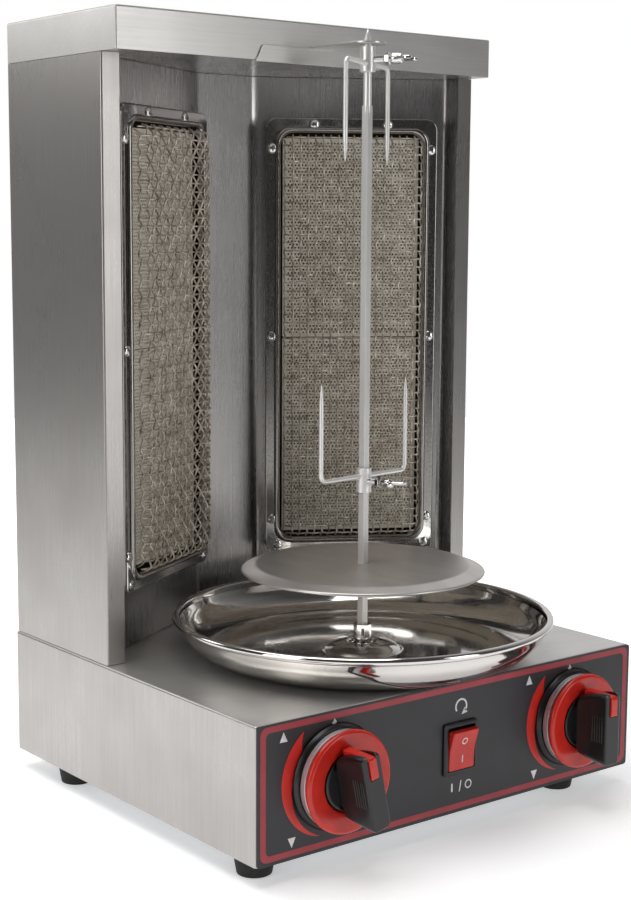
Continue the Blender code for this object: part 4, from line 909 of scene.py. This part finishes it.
def start_tree(name, numbers, extra=()):
    """A Geometry Nodes tree with a geometry input and output and named number inputs."""
    tree = bpy.data.node_groups.new(name, "GeometryNodeTree")
    tree.interface.new_socket("Geometry", in_out="INPUT", socket_type="NodeSocketGeometry")
    for label, value in numbers.items():
        kind = "NodeSocketInt" if isinstance(value, int) else "NodeSocketFloat"
        tree.interface.new_socket(label, in_out="INPUT", socket_type=kind).default_value = value
    for label, kind in extra:
        tree.interface.new_socket(label, in_out="INPUT", socket_type=kind)
    tree.interface.new_socket("Geometry", in_out="OUTPUT", socket_type="NodeSocketGeometry")
    return tree, add_node(tree, "NodeGroupInput").outputs


def paint_and_finish(tree, shape, material):
    """Give the tree's geometry its material and send it to the output."""
    painted = add_node(
        tree, "GeometryNodeSetMaterial", {"Geometry": shape, "Material": material})
    add_node(tree, "NodeGroupOutput", {0: painted})


# %% The woven screen's tree
ROW_PITCH, COLUMN_PITCH = 5.3, 5.1
ROWS, COLUMNS = 51, 19
tree, given = start_tree("woven screen", {
    "Half width": 0.0474, "Half height": 0.1351, "Corner": SCREEN_CORNER * MM, "Bulge": 0.0106,
    "Stand-off": PROUD * MM,
    "Row pitch": ROW_PITCH * MM, "Column pitch": COLUMN_PITCH * MM, "Rows": ROWS, "Columns": COLUMNS,
    "Wire radius": 0.00058, "Crimp": 0.0009, "Waver": 0.0003, "Steps": 5,
}, [("Material", "NodeSocketMaterial")])


def maths(operation, first, second=0.0, third=None):
    """One step of arithmetic in the current tree; returns its output."""
    inputs = {0: first, 1: second}
    if third is not None:
        inputs[2] = third
    return add_node(tree, "ShaderNodeMath", inputs, operation=operation).outputs[0]


point = add_node(tree, "GeometryNodeInputPosition").outputs[0]
across, _, height = add_node(tree, "ShaderNodeSeparateXYZ", {0: point}).outputs
straight_x = maths("SUBTRACT", given["Half width"], given["Corner"])
straight_z = maths("SUBTRACT", given["Half height"], given["Corner"])
reach_x = maths("SUBTRACT", maths("ABSOLUTE", across), straight_x)
reach_z = maths("SUBTRACT", maths("ABSOLUTE", height), straight_z)
beyond_x, beyond_z = maths("MAXIMUM", reach_x, 0.0), maths("MAXIMUM", reach_z, 0.0)
square_x, square_z = maths("MULTIPLY", beyond_x, beyond_x), maths("MULTIPLY", beyond_z, beyond_z)
corner_way = maths("SQRT", maths("ADD", square_x, square_z))
edge_way = maths("MINIMUM", maths("MAXIMUM", reach_x, reach_z), 0.0)
inset = maths("SUBTRACT", given["Corner"], maths("ADD", corner_way, edge_way))
fall = maths("EXPONENT", maths("DIVIDE", maths("MAXIMUM", inset, 0.0), -2.2 * MM))
dome = maths("MULTIPLY", given["Bulge"], maths("MULTIPLY_ADD", fall, -0.66, 1.0))

row_number = maths("ROUND", maths("DIVIDE", height, given["Row pitch"]))
column_number = maths("ROUND", maths("DIVIDE", across, given["Column pitch"]))


def crimp_wave(along, pitch, own_number, shift):
    """Height of a wire's crimp: a cosine that peaks at every other crossing."""
    phase = maths("ADD", maths("DIVIDE", along, pitch), maths("ADD", own_number, shift))
    return maths("MULTIPLY", given["Crimp"], maths("COSINE", maths("MULTIPLY", phase, math.pi)))


row_lift = crimp_wave(across, given["Column pitch"], row_number, 0.0)
column_lift = crimp_wave(height, given["Row pitch"], column_number, 1.0)
waver = maths("MULTIPLY", given["Waver"], maths(
    "SINE", maths("MULTIPLY", maths("DIVIDE", height, given["Row pitch"]), math.tau)))


def lay_wires(start, end, wire_count, step_count, spacing, lift, sideways):
    """Straight wires side by side, bent to the weave; returns curves."""
    line = add_node(tree, "GeometryNodeCurvePrimitiveLine", {"Start": start, "End": end})
    fine = add_node(tree, "GeometryNodeResampleCurve", {"Curve": line, "Count": step_count})
    row = add_node(tree, "GeometryNodeMeshLine", {"Count": wire_count, "Offset": spacing})
    half = add_node(tree, "ShaderNodeVectorMath", {0: spacing}, operation="SCALE")
    tree.links.new(maths("MULTIPLY", maths("SUBTRACT", wire_count, 1.0), -0.5), half.inputs["Scale"])
    tree.links.new(half.outputs[0], row.inputs["Start Location"])
    many = add_node(tree, "GeometryNodeInstanceOnPoints", {
        "Points": row, "Instance": fine})
    real = add_node(tree, "GeometryNodeRealizeInstances", {0: many})
    outside = add_node(tree, "FunctionNodeCompare", {0: inset, 1: 0.1 * MM}, operation="LESS_THAN")
    kept = add_node(tree, "GeometryNodeDeleteGeometry", {0: real, 1: outside})
    forward = maths("MULTIPLY", maths("ADD", maths("ADD", dome, lift), given["Stand-off"]), -1.0)
    shift = add_node(tree, "ShaderNodeCombineXYZ", {0: sideways, 1: forward})
    return add_node(tree, "GeometryNodeSetPosition", {
        "Geometry": kept, "Offset": shift})


row_start = add_node(tree, "ShaderNodeCombineXYZ", {0: maths("MULTIPLY", given["Half width"], -1.0)})
row_end = add_node(tree, "ShaderNodeCombineXYZ", {0: given["Half width"]})
column_start = add_node(tree, "ShaderNodeCombineXYZ", {2: maths("MULTIPLY", given["Half height"], -1.0)})
column_end = add_node(tree, "ShaderNodeCombineXYZ", {2: given["Half height"]})
row_gap = add_node(tree, "ShaderNodeCombineXYZ", {2: given["Row pitch"]})
column_gap = add_node(tree, "ShaderNodeCombineXYZ", {0: given["Column pitch"]})
row_wires = lay_wires(
    row_start, row_end, given["Rows"],
    maths("MULTIPLY", given["Columns"], given["Steps"]), row_gap, row_lift, 0.0)
column_wires = lay_wires(
    column_start, column_end, given["Columns"],
    maths("MULTIPLY", given["Rows"], given["Steps"]), column_gap, column_lift, waver)
both = add_node(tree, "GeometryNodeJoinGeometry")
tree.links.new(row_wires.outputs[0], both.inputs[0])
tree.links.new(column_wires.outputs[0], both.inputs[0])
ring = add_node(tree, "GeometryNodeCurvePrimitiveCircle", {"Resolution": 6, "Radius": given["Wire radius"]})
wires = add_node(tree, "GeometryNodeCurveToMesh", {
    "Curve": both, "Profile Curve": ring, "Fill Caps": True})
soft = add_node(tree, "GeometryNodeSetShadeSmooth", {0: wires})
real = add_node(tree, "GeometryNodeRealizeInstances", {0: soft})
paint_and_finish(tree, real, given["Material"])
woven_tree = tree

# %% Both screens
for side, _ in SIDES:
    mesh = grow_mesh(f"woven_screen_{side}", woven_tree, {"Material": hot_wire})
    mesh.transform(burner_place[side])
    made = hand_over(
        put_in_scene(f"woven_screen_{side}", mesh), "housing", [f"burner_mesh_{side}"])
    print(made.name, len(mesh.polygons), "faces")

# %% [markdown]
# An infrared tile is an extruded ceramic plate with staggered holes. One small cell of the
# front face, a square with an eight-sided hole, is instanced on a grid whose odd rows
# move half a cell, then the copies are made real and welded. Behind the face lies the
# rest of the plate, painted dark as the shade seen down the holes.

# %% The perforated tile's tree
HOLE_PITCH, HOLE_ROW, HOLE_RADIUS, HOLE_DEPTH = 2.3, 2.1, 0.72, 2.4
TILE_WIDTH, TILE_HEIGHT, TILE_DEPTH, TILE_FRONT = 92.0, 132.0, 13.0, -6.5
HOLE_COLUMNS, HOLE_ROWS = 38, 61

cell = bmesh.new()
corners = [(0.5, 0), (0.5, 0.5), (0, 0.5), (-0.5, 0.5), (-0.5, 0), (-0.5, -0.5), (0, -0.5), (0.5, -0.5)]
outer = [cell.verts.new((x * HOLE_PITCH * MM, 0, z * HOLE_ROW * MM)) for x, z in corners]
eighths = [math.tau * index / 8 for index in range(8)]
rim, deep = ([cell.verts.new((HOLE_RADIUS * MM * math.cos(a), depth * MM, HOLE_RADIUS * MM * math.sin(a)))
              for a in eighths] for depth in (0, HOLE_DEPTH))
for index in range(8):
    after = (index + 1) % 8
    cell.faces.new((outer[index], rim[index], rim[after], outer[after]))
    cell.faces.new((rim[index], deep[index], deep[after], rim[after]))
cell.normal_update()
if sum(face.normal.y for face in cell.faces if abs(face.normal.y) > 0.9) > 0:
    bmesh.ops.reverse_faces(cell, faces=cell.faces)
cell_mesh = bpy.data.meshes.new("tile_cell")
cell.to_mesh(cell_mesh)
cell.free()
cell_object = put_in_scene("tile_cell", cell_mesh)

tree, given = start_tree("perforated tile", {
    "Columns": HOLE_COLUMNS, "Rows": HOLE_ROWS, "Pitch": HOLE_PITCH * MM, "Row pitch": HOLE_ROW * MM,
}, [("Cell", "NodeSocketObject"), ("Material", "NodeSocketMaterial")])
wide = maths("MULTIPLY", given["Pitch"], maths("SUBTRACT", given["Columns"], 1.0))
tall = maths("MULTIPLY", given["Row pitch"], maths("SUBTRACT", given["Rows"], 1.0))
grid = add_node(tree, "GeometryNodeMeshGrid", {
    "Size X": wide, "Size Y": tall, "Vertices X": given["Columns"], "Vertices Y": given["Rows"]})
point = add_node(tree, "GeometryNodeInputPosition").outputs[0]
flat_x, flat_y, _ = add_node(tree, "ShaderNodeSeparateXYZ", {0: point}).outputs
from_bottom = maths("ADD", flat_y, maths("MULTIPLY", tall, 0.5))
row_number = maths("ROUND", maths("DIVIDE", from_bottom, given["Row pitch"]))
odd = maths("MODULO", row_number, 2.0)
stagger = maths("MULTIPLY", maths("SUBTRACT", odd, 0.5), maths("MULTIPLY", given["Pitch"], 0.5))
standing = add_node(tree, "ShaderNodeCombineXYZ", {0: maths("ADD", flat_x, stagger), 2: flat_y})
moved = add_node(tree, "GeometryNodeSetPosition", {
    "Geometry": grid, "Position": standing})
pattern = add_node(tree, "GeometryNodeObjectInfo", {"Object": given["Cell"]})
many = add_node(tree, "GeometryNodeInstanceOnPoints", {
    "Points": moved, "Instance": pattern.outputs["Geometry"]})
real = add_node(tree, "GeometryNodeRealizeInstances", {0: many})
welded = add_node(
    tree, "GeometryNodeMergeByDistance", {"Geometry": real, "Distance": 1e-5})
paint_and_finish(tree, welded, given["Material"])
tile_face = grow_mesh("tile_face", tree, {"Cell": cell_object, "Material": ceramic})
bpy.data.objects.remove(cell_object)
print("one tile face:", len(tile_face.polygons), "faces")

# %% Tiles


def make_tile(word, sign, side):
    """The perforated face, a plain rim round it, and the body behind in painted shade."""
    middle = sign * (0.3 + TILE_HEIGHT / 2)
    matrix = burner_place[side] @ Matrix.Translation(Vector((0, TILE_FRONT, middle)) * MM)
    work = bmesh.new()
    work.from_mesh(tile_face)
    for face in work.faces:
        face.material_index = 0
    half_w, half_h = TILE_WIDTH / 2, TILE_HEIGHT / 2
    body = [(half_w, half_h), (-half_w, half_h), (-half_w, -half_h), (half_w, -half_h)]
    levels = ((0.985, HOLE_DEPTH), (1.0, HOLE_DEPTH + 0.2), (1.0, TILE_DEPTH))
    # The body behind takes the second slot, the painted shade that makes the holes look deep.
    skin(work, [[Vector((x * s, y, z * s)) * MM for x, z in body] for s, y in levels], material_index=1)
    inner_w, inner_h = HOLE_COLUMNS / 2 * HOLE_PITCH - 0.9, HOLE_ROWS / 2 * HOLE_ROW - 0.4
    opening = rounded_rectangle(inner_w, inner_h, 0.5, 2)
    outside = rounded_rectangle(half_w, half_h, 0.8, 2)
    rim_loops = [[Vector((x, y, z)) * MM for x, z in shape] for shape, y in (
        (opening, -0.05), (outside, -0.05), (outside, HOLE_DEPTH), (opening, HOLE_DEPTH))]
    skin(work, rim_loops, closed_row=True)
    work.transform(matrix)
    name = f"infrared_tile_{word}_{side}"
    return keep_piece(
        name, work, [ceramic, painted_hole_shade], "housing", [f"ceramic_tile_{word}_{side}"])


for side, _ in SIDES:
    for word, sign in (("lower", -1), ("upper", 1)):
        made = make_tile(word, sign, side)
print(made.name, len(made.data.polygons), "faces")

# %% [markdown]
# Cross-head screws hold each frame, three down each side, two along the top and two at the
# bottom. One screw is modelled with its cross cut in, and a small tree puts a copy on
# every point, turned as the point says.

# %% One cross-head screw and the tree that repeats it
HEAD_RADIUS, HEAD_HEIGHT, RIM = 3.5, 2.1, 0.35
CROSS_HALF, SLOT_HALF, SLOT_FLOOR, CLEAR = 2.0, 0.42, 1.0, 4
work = bmesh.new()
dome_profile = [(HEAD_RADIUS, 0.0), (HEAD_RADIUS, RIM)]
for step in range(1, 7):
    angle = math.radians(90 * step / 7)
    dome_profile.append((HEAD_RADIUS * math.cos(angle), RIM + (HEAD_HEIGHT - RIM) * math.sin(angle)))
turn_profile(work, dome_profile, Matrix.Identity(4), segments=24, ring=False)
flat = Matrix.Identity(4)
work = cut_away(work, [
    box_solid(flat, (-x, -y, SLOT_FLOOR), (x, y, CLEAR))
    for x, y in ((CROSS_HALF, SLOT_HALF), (SLOT_HALF, CROSS_HALF))])
screw_mesh = bpy.data.meshes.new("cross_head_screw")
work.to_mesh(screw_mesh)
work.free()
screw_mesh.shade_smooth()
screw_mesh.set_sharp_from_angle(angle=math.radians(35))
screw = put_in_scene("cross_head_screw", screw_mesh)

tree, given = start_tree("repeat a fastener", {"Scale": 1.0}, [
    ("Fastener", "NodeSocketObject"), ("Material", "NodeSocketMaterial")])
turns = add_node(tree, "GeometryNodeInputNamedAttribute", {"Name": "turn"}, data_type="FLOAT_VECTOR")
rotation = add_node(tree, "FunctionNodeEulerToRotation", {0: turns})
pattern = add_node(tree, "GeometryNodeObjectInfo", {"Object": given["Fastener"]})
many = add_node(tree, "GeometryNodeInstanceOnPoints", {
    "Points": given["Geometry"], "Instance": pattern.outputs["Geometry"],
    "Rotation": rotation, "Scale": given["Scale"]})
real = add_node(tree, "GeometryNodeRealizeInstances", {0: many})
paint_and_finish(tree, real, given["Material"])
fastener_tree = tree


def repeat_fastener(name, fastener, matrices, finish, body, scale=1.0):
    """Put a copy of the fastener at every matrix and keep them as one piece."""
    points = bpy.data.meshes.new(name)
    points.from_pydata([matrix.translation for matrix in matrices], [], [])
    turn_values = points.attributes.new("turn", "FLOAT_VECTOR", "POINT")
    for value, matrix in zip(turn_values.data, matrices):
        value.vector = matrix.to_euler()
    inputs = {"Fastener": fastener, "Material": finish, "Scale": scale}
    mesh = grow_mesh(name, fastener_tree, inputs, points)
    return hand_over(put_in_scene(name, mesh), body)


# %% [markdown]
# The screws' own Z axis is their length, so each matrix turns that axis towards the spit,
# and each screw is left at its own angle, because nobody lines up the slots of screws.

# %% Frame screws
SCREW_PLACES = [(x, z) for x in (-53.5, 53.5) for z in (125.5, 1.0, -123.5)]
SCREW_PLACES += [(-25.6, 141.3), (23.9, 141.3), (-49.8, -141.0), (51.8, -141.0)]


def screw_matrices(side, places, height):
    """A matrix for each screw on a burner's flange."""
    found = []
    for index, (x, z) in enumerate(places):
        spot = Matrix.Translation(Vector((x, -height, z)) * MM)
        outward = Matrix.Rotation(math.radians(90), 4, "X")
        spin = Matrix.Rotation(math.radians(37 * index), 4, "Z")
        found.append(burner_place[side] @ spot @ outward @ spin)
    return found


for side, sign in SIDES:
    places = [(sign * x, z) for x, z in SCREW_PLACES]
    matrices = screw_matrices(side, places, FACE)
    made = repeat_fastener(
        f"frame_screws_{side}", screw, matrices, chrome, "housing")
    print(made.name, len(made.data.polygons), "faces")

# %% [markdown]
# A bent corner clip is screwed over some corners of the frames. It is a plated strip in
# the shape of an L, a little domed where it steps over the bead.

# %% Corner clips


def make_clip(name, side, x_sign, z_sign):
    """An L of plated strip over one corner of a frame."""
    leg, width = 21.0, 8.5
    corner_x, corner_z = SCREEN_WIDTH / 2 + FLANGE - 1, SCREEN_HEIGHT / 2 + FLANGE - 1
    short = leg * 0.8
    outline = ease([
        (0, 0), (0, -leg), (-width, -leg), (-width, -width), (-short, -width), (-short, 0)], 2.4, 4)
    top = inset_outline(outline, 0.35)
    work = bmesh.new()
    loops = []
    for shape, height in ((outline, FACE), (outline, FACE + 0.8), (top, FACE + 1.2)):
        loops.append([burner_place[side] @ (Vector((
            x_sign * (corner_x + x), -height, z_sign * (corner_z + z))) * MM) for x, z in shape])
    skin(work, loops)
    return keep_piece(name, work, chrome, "housing")


CLIPS = {"right_low_inner": (-1, -1), "right_low_outer": (1, -1),
         "left_top_outer": (-1, 1), "left_low_outer": (-1, -1)}
for word, (x_sign, z_sign) in CLIPS.items():
    make_clip(f"clip_{word}", word.split("_")[0], x_sign, z_sign)

# %% [markdown]
# ## Control panel
# The panel is a steel plate under a printed film. The film's border and arcs are inks a
# few hundredths of a millimetre thick, made as flat shapes that stand a hair proud. Words
# are replaced by plain symbols: arrows, a flame, a turning arrow, and a bar and ring.

# %% Panel plate and printed shapes
work = welded_copy("control_panel")
round_edges(work, outer_edges(work, "control_panel", "xXzZ"), 2.0, 4)
keep_piece("panel_plate", work, overlay, "housing", ["control_panel"])

INK = 0.06


def print_shape(work, outline, hole=None):
    """A film of ink on the panel from (x, z) pairs in millimetres, with one hole at most."""
    def at(points, proud):
        return [place(x, BASE_FRONT - proud, z) for x, z in points]
    if hole is None:
        skin(work, [at(outline, -INK), at(outline, INK)])
    else:
        skin(work, [at(outline, -INK), at(outline, INK), at(hole, INK), at(hole, -INK)], closed_row=True)


PANEL_MIDDLE = 51.3
border = [[(x, z + PANEL_MIDDLE) for x, z in rounded_rectangle(half_x, half_z, corner, 8)]
          for half_x, half_z, corner in ((143, 37.2, 4.5), (139.3, 33.8, 3.0))]
work = bmesh.new()
print_shape(work, *border)
keep_piece("printed_border", work, border_ink, "housing")

# %% [markdown]
# Each arc beside a knob is a tapering blade: it starts at a point near the top, is widest
# at the side and thins out towards the bottom, to show how the flame grows.

# %% Arcs beside the knobs
KNOB_X, KNOB_Z = 92.0, 52.5


def blade(centre_x):
    """The arc's outline: an outer and an inner radius along the sweep."""
    outer_edge, inner_edge = [], []
    steps, first, last = 40, 127, 251
    for step in range(steps + 1):
        share = step / steps
        angle = math.radians(first + (last - first) * share)
        outer_radius = 36.6 + 0.6 * math.sin(math.pi * share) - 3.4 * share ** 3
        width = 8.6 * min(1, share / 0.14) * (1 - max(0, share - 0.3) / 0.7) ** 0.9
        for edge, radius in ((outer_edge, outer_radius), (inner_edge, outer_radius - max(width, 0.05))):
            edge.append((centre_x + radius * math.cos(angle), KNOB_Z + radius * math.sin(angle)))
    return outer_edge + list(reversed(inner_edge))


work = bmesh.new()
for sign in (-1, 1):
    print_shape(work, blade(sign * KNOB_X))
keep_piece("printed_arcs", work, arc_ink, "housing")

# %% Symbols instead of words


def ring_outline(x, z, radius, start=0.0, end=360.0, steps=28):
    """Points on part of a circle."""
    angles = [math.radians(start + (end - start) * s / steps) for s in range(steps + 1)]
    return [(x + radius * math.cos(a), z + radius * math.sin(a)) for a in angles]


def arc_band(x, z, radius, width, start, end):
    """A band of a ring, as one outline."""
    return ring_outline(x, z, radius + width / 2, start, end) + list(
        reversed(ring_outline(x, z, radius - width / 2, start, end)))


def arrow_head(x, z, size, heading):
    """A triangle that points along a heading in degrees."""
    angles = [math.radians(heading + a) for a in (0, 130, 230)]
    return [(x + size * math.cos(a), z + size * math.sin(a)) for a in angles]


FLAME = [(0, 4.4), (1.1, 2.2), (2.5, 0.6), (3.0, -1.4), (2.2, -3.4), (0.6, -4.4), (-0.8, -4.4), (-2.3, -3.4),
         (-3.0, -1.6), (-2.4, 0.2), (-1.4, -0.8), (-1.0, 1.4)]
work = bmesh.new()
for sign in (-1, 1):
    x = sign * KNOB_X
    print_shape(work, arrow_head(x - 35.6, 80.6, 3.4, 90))
    print_shape(work, arrow_head(x - 30.0, 22.2, 3.4, 270))
    print_shape(work, ease([(x - 1 + fx * 0.5, 83.6 + fz * 0.42) for fx, fz in FLAME], 0.7, 3))
TURN_X, TURN_Z, TURN_RADIUS, HEAD_ANGLE = 1, 75.2, 4.2, math.radians(-55)
print_shape(work, arc_band(TURN_X, TURN_Z, TURN_RADIUS, 1.1, -50, 215))
head_x, head_z = TURN_X + TURN_RADIUS * math.cos(HEAD_ANGLE), TURN_Z + TURN_RADIUS * math.sin(HEAD_ANGLE)
print_shape(work, arrow_head(head_x, head_z, 2.6, 215))
print_shape(work, [(-5.9, 25.0), (-4.7, 25.0), (-4.7, 30.0), (-5.9, 30.0)])
print_shape(work, [(0.2, 24.2), (1.0, 24.2), (2.2, 30.8), (1.4, 30.8)])
print_shape(work, ring_outline(7.6, 27.5, 2.7)[:-1], ring_outline(7.6, 27.5, 1.9)[:-1])
keep_piece("printed_symbols", work, white_ink, "housing")

# %% [markdown]
# ## Knobs
# A knob is built up in layers on the tap's stem: a fixed black ring on the panel, a black
# body with a satin metal ring round it, a glossy red dished ring pressed over that, a bar
# for the fingers, and a red strip let into the bar's upper end that bends down its face.

# %% Knob rings and bodies
RING_HOLE, RING_RADIUS, RING_PROUD, SKIRT = 16.3, 29.0, 13.4, 8.2
KNOB_TURNS = {"left": math.radians(12), "right": 0.0}


def make_knob(side, sign):
    """The ring on the panel, and the body, red ring and pointer that turn."""
    fixed = facing_front(sign * KNOB_X, KNOB_Z)
    turned = facing_front(sign * KNOB_X, KNOB_Z, -KNOB_TURNS[side])
    body = f"{side}_knob"

    bezel = ease([(24, 0.3), (30, 0.3), (30, 1.4), (28.6, 3.6), (24, 3.6)], 0.7)
    keep_turned(f"scale_ring_{side}", bezel, fixed, phenolic, "housing",
                f"knob_bezel_{side}", 96)

    band = ease([(RING_HOLE, 3.9), (27.5, 3.9), (27.5, 7.9), (RING_HOLE, 7.9)], 0.6)
    keep_turned(f"knob_band_{side}", band, turned, satin_ring, body,
                f"knob_trim_{side}", 96)

    work = bmesh.new()
    levels = ((10.4, 8.5, -13.0, 13.0), (13.9, 8.5, -13.1, 13.1), (14.3, 8.3, -18.8, 17.8),
              (15.8, 8.0, -19.3, 18.3), (22.0, 6.9, -20.8, 20.2), (29.0, 6.35, -21.7, 21.7),
              (33.6, 6.25, -22.0, 22.0),
              (34.6, 5.9, -21.6, 21.6), (35.0, 5.3, -21.0, 21.0))
    loops = []
    for proud, half_width, low, high in levels:
        outline = rounded_rectangle(half_width, (high - low) / 2, half_width * 0.5, 6)
        loops.append([turned @ (Vector((x, z + (high + low) / 2, proud)) * MM) for x, z in outline])
    skin(work, loops)
    pointer_bed = [
        box_solid(turned, (-2.8, 7.7, 33.0), (2.8, 23, 36)),
        box_solid(turned, (-2.8, 16.0, 13.4), (2.8, 23, 36))]
    work = cut_away(work, pointer_bed)
    boss = ease([(15.0, 3.9), (16.0, 4.9), (16.0, 11.9), (14.0, 12.4)], 0.5, 3, closed=False)
    turn_profile(work, boss, turned, 96, ring=False)
    keep_piece(f"knob_grip_{side}", work, phenolic, body, [f"knob_body_{side}"])

    dish = ease([
        (RING_HOLE, SKIRT), (RING_RADIUS - 3, SKIRT), (RING_RADIUS, SKIRT + 2.4),
        (RING_RADIUS - 0.3, RING_PROUD - 1), (RING_RADIUS - 1.6, RING_PROUD),
        (RING_HOLE + 0.9, RING_PROUD - 1.5), (RING_HOLE, RING_PROUD - 2.4)], 0.8, 4)
    keep_turned(f"knob_dish_{side}", dish, turned, red_abs, body, f"knob_ring_{side}", 96)

    strip = ease([(20.8, 14.0), (20.8, 34.7), (19.3, 36.2), (9.0, 36.2), (8.0, 35.2), (8.0, 33.3),
                  (16.3, 33.3), (16.3, 14.0)], 0.9, 3)
    work = bmesh.new()
    skin(work, [[turned @ (Vector((x, y, z)) * MM) for y, z in shape]
                for shape, x in ((inset_outline(strip, 0.3), -2.5), (strip, -2.2), (strip, 2.2),
                                 (inset_outline(strip, 0.3), 2.5))])
    keep_piece(f"knob_marker_{side}", work, red_abs, body, [f"knob_pointer_{side}"])


for side, sign in SIDES:
    make_knob(side, sign)
print("knobs are done")

# %% [markdown]
# The sides of the bar are ribbed for grip. One rib is repeated by the same tree as the
# screws, so each row is even.

# %% Grip ribs
rib_work = bmesh.new()
rib_line = [Vector((0, y, 0)) * MM for y in (-8.2, -7.6, 0, 7.6, 8.2)]
run_tube(rib_work, rib_line, [0.1, 0.42, 0.45, 0.42, 0.1], 8)
rib_mesh = bpy.data.meshes.new("rib")
rib_work.to_mesh(rib_mesh)
rib_work.free()
rib_mesh.shade_smooth()
rib = put_in_scene("rib", rib_mesh)
for side, sign in SIDES:
    turned = facing_front(sign * KNOB_X, KNOB_Z, -KNOB_TURNS[side])
    stands = []
    for hand in (-1, 1):
        for step in range(5):
            spot = Vector((hand * (6.33 - 0.012 * step), 0, 32.2 - 1.9 * step))
            if step > 1:
                spot.x += hand * 0.05 * step
            stands.append(turned @ Matrix.Translation(spot * MM))
    repeat_fastener(f"grip_ribs_{side}", rib, stands, phenolic, f"{side}_knob")

# %% [markdown]
# The rocker switch snaps into the panel. Its black frame is the CAD piece with eased
# edges. The red rocker is a shallow V that tips about its middle, with a ring printed on
# the upper half for off and a bar on the lower half for on.

# %% Rocker switch
SWITCH_Z = 51.0
work = welded_copy("switch_body")
round_edges(work, sharp_edges(work), 0.25, 2)
keep_piece("switch_frame", work, nylon, "housing", ["switch_body"])

rocker_place = (Matrix.Translation(place(0, BASE_FRONT, SWITCH_Z))
                @ Matrix.Rotation(math.radians(10), 4, "X"))
V_SHAPE = [(-4.6, 12.2), (-3.2, 0), (-4.6, -12.2), (-1.0, -12.2), (3.2, -8.0), (3.2, 8.0), (-1.0, 12.2)]
eased_v = ease(V_SHAPE, 0.8, 3)
work = bmesh.new()
skin(work, [[rocker_place @ (Vector((x, y, z)) * MM) for y, z in shape]
            for shape, x in ((inset_outline(eased_v, 0.5), -9.8), (eased_v, -9.2), (eased_v, 9.2),
                             (inset_outline(eased_v, 0.5), 9.8))])
keep_piece("rocker_cap", work, red_abs, "rocker", ["switch_rocker"])


def on_rocker(points, centre_z, proud):
    """(x, z) marks laid on the rocker's upper or lower half."""
    laid = []
    for x, z in points:
        height = centre_z + z
        surface = -3.2 - 1.4 * abs(height) / 12.2
        laid.append(rocker_place @ (Vector((x, surface - proud, height)) * MM))
    return laid


work = bmesh.new()
circle_out, circle_in = ring_outline(0, 0, 2.1)[:-1], ring_outline(0, 0, 1.5)[:-1]
skin(work, [on_rocker(circle_out, 5.6, -0.1), on_rocker(circle_out, 5.6, 0.06),
            on_rocker(circle_in, 5.6, 0.06), on_rocker(circle_in, 5.6, -0.1)], closed_row=True)
bar = [(-0.35, -2.1), (0.35, -2.1), (0.35, 2.1), (-0.35, 2.1)]
skin(work, [on_rocker(bar, -5.6, -0.1), on_rocker(bar, -5.6, 0.06)])
keep_piece("rocker_symbols", work, white_ink, "rocker")

# %% [markdown]
# ## Feet and the back
# The feet are moulded rubber cones, wider at the top, with a dished underside. At the back
# a brass hose tail takes the gas, and a ribbed gland is where a mains lead would leave.

# %% Feet
FEET = {"front_left": (-130, -108), "front_right": (105, -108),
        "back_left": (-130, 82), "back_right": (105, 82)}
foot_profile = ease([(0.5, 1.2), (7.2, 1.2), (7.8, 0), (9.8, 0), (12, 12), (0.5, 12)], 0.9, 3, closed=False)
for word, (x, y) in FEET.items():
    keep_turned(f"rubber_foot_{word}", foot_profile, on_axis(x, y), rubber, "housing",
                f"foot_{word}", ring=False)

# %% Hose tail and gland
behind = Matrix.Rotation(math.radians(-90), 4, "X")
BACK = BASE_DEPTH / 2
inlet = Matrix.Translation(place(-118, 0, 29)) @ behind
tail = [(3, BACK - 9.7), (8.5, BACK - 9.7), (8.5, BACK - 1.3), (6.5, BACK - 1.3), (6.5, BACK + 0.3),
        (9, BACK + 0.3), (9, BACK + 6.3), (4.6, BACK + 6.3)]
for step in range(3):
    base = BACK + 9 + 3.6 * step
    tail += [(4.5, base), (5.4, base + 0.4), (4.6, base + 3.2)]
tail += [(4.3, BACK + 21), (3, BACK + 21)]
keep_turned("hose_tail", ease(tail, 0.35, 2), inlet, brass, "housing", "gas_inlet")

gland = Matrix.Translation(place(95, 0, 40)) @ behind
sleeve = [(3.5, BACK - 7.3), (8.5, BACK - 7.3), (8.5, BACK - 1.3), (6, BACK - 1.3), (6, BACK + 0.3),
          (8.5, BACK + 0.3), (8.5, BACK + 4.3), (7.6, BACK + 4.9)]
for step in range(3):
    base = BACK + 5.6 + 2.1 * step
    sleeve += [(7.3 - 0.25 * step, base), (7.3 - 0.25 * step, base + 1.1), (6.4 - 0.2 * step, base + 1.3)]
sleeve += [(6.0, BACK + 12.3), (3.5, BACK + 12.3)]
keep_turned("lead_gland", ease(sleeve, 0.25, 2), gland, nylon, "housing", "cord_gland")

# %% [markdown]
# The patterns that were repeated are no longer needed.

# %% Finish
for spent in (screw, rib):
    bpy.data.objects.remove(spent)
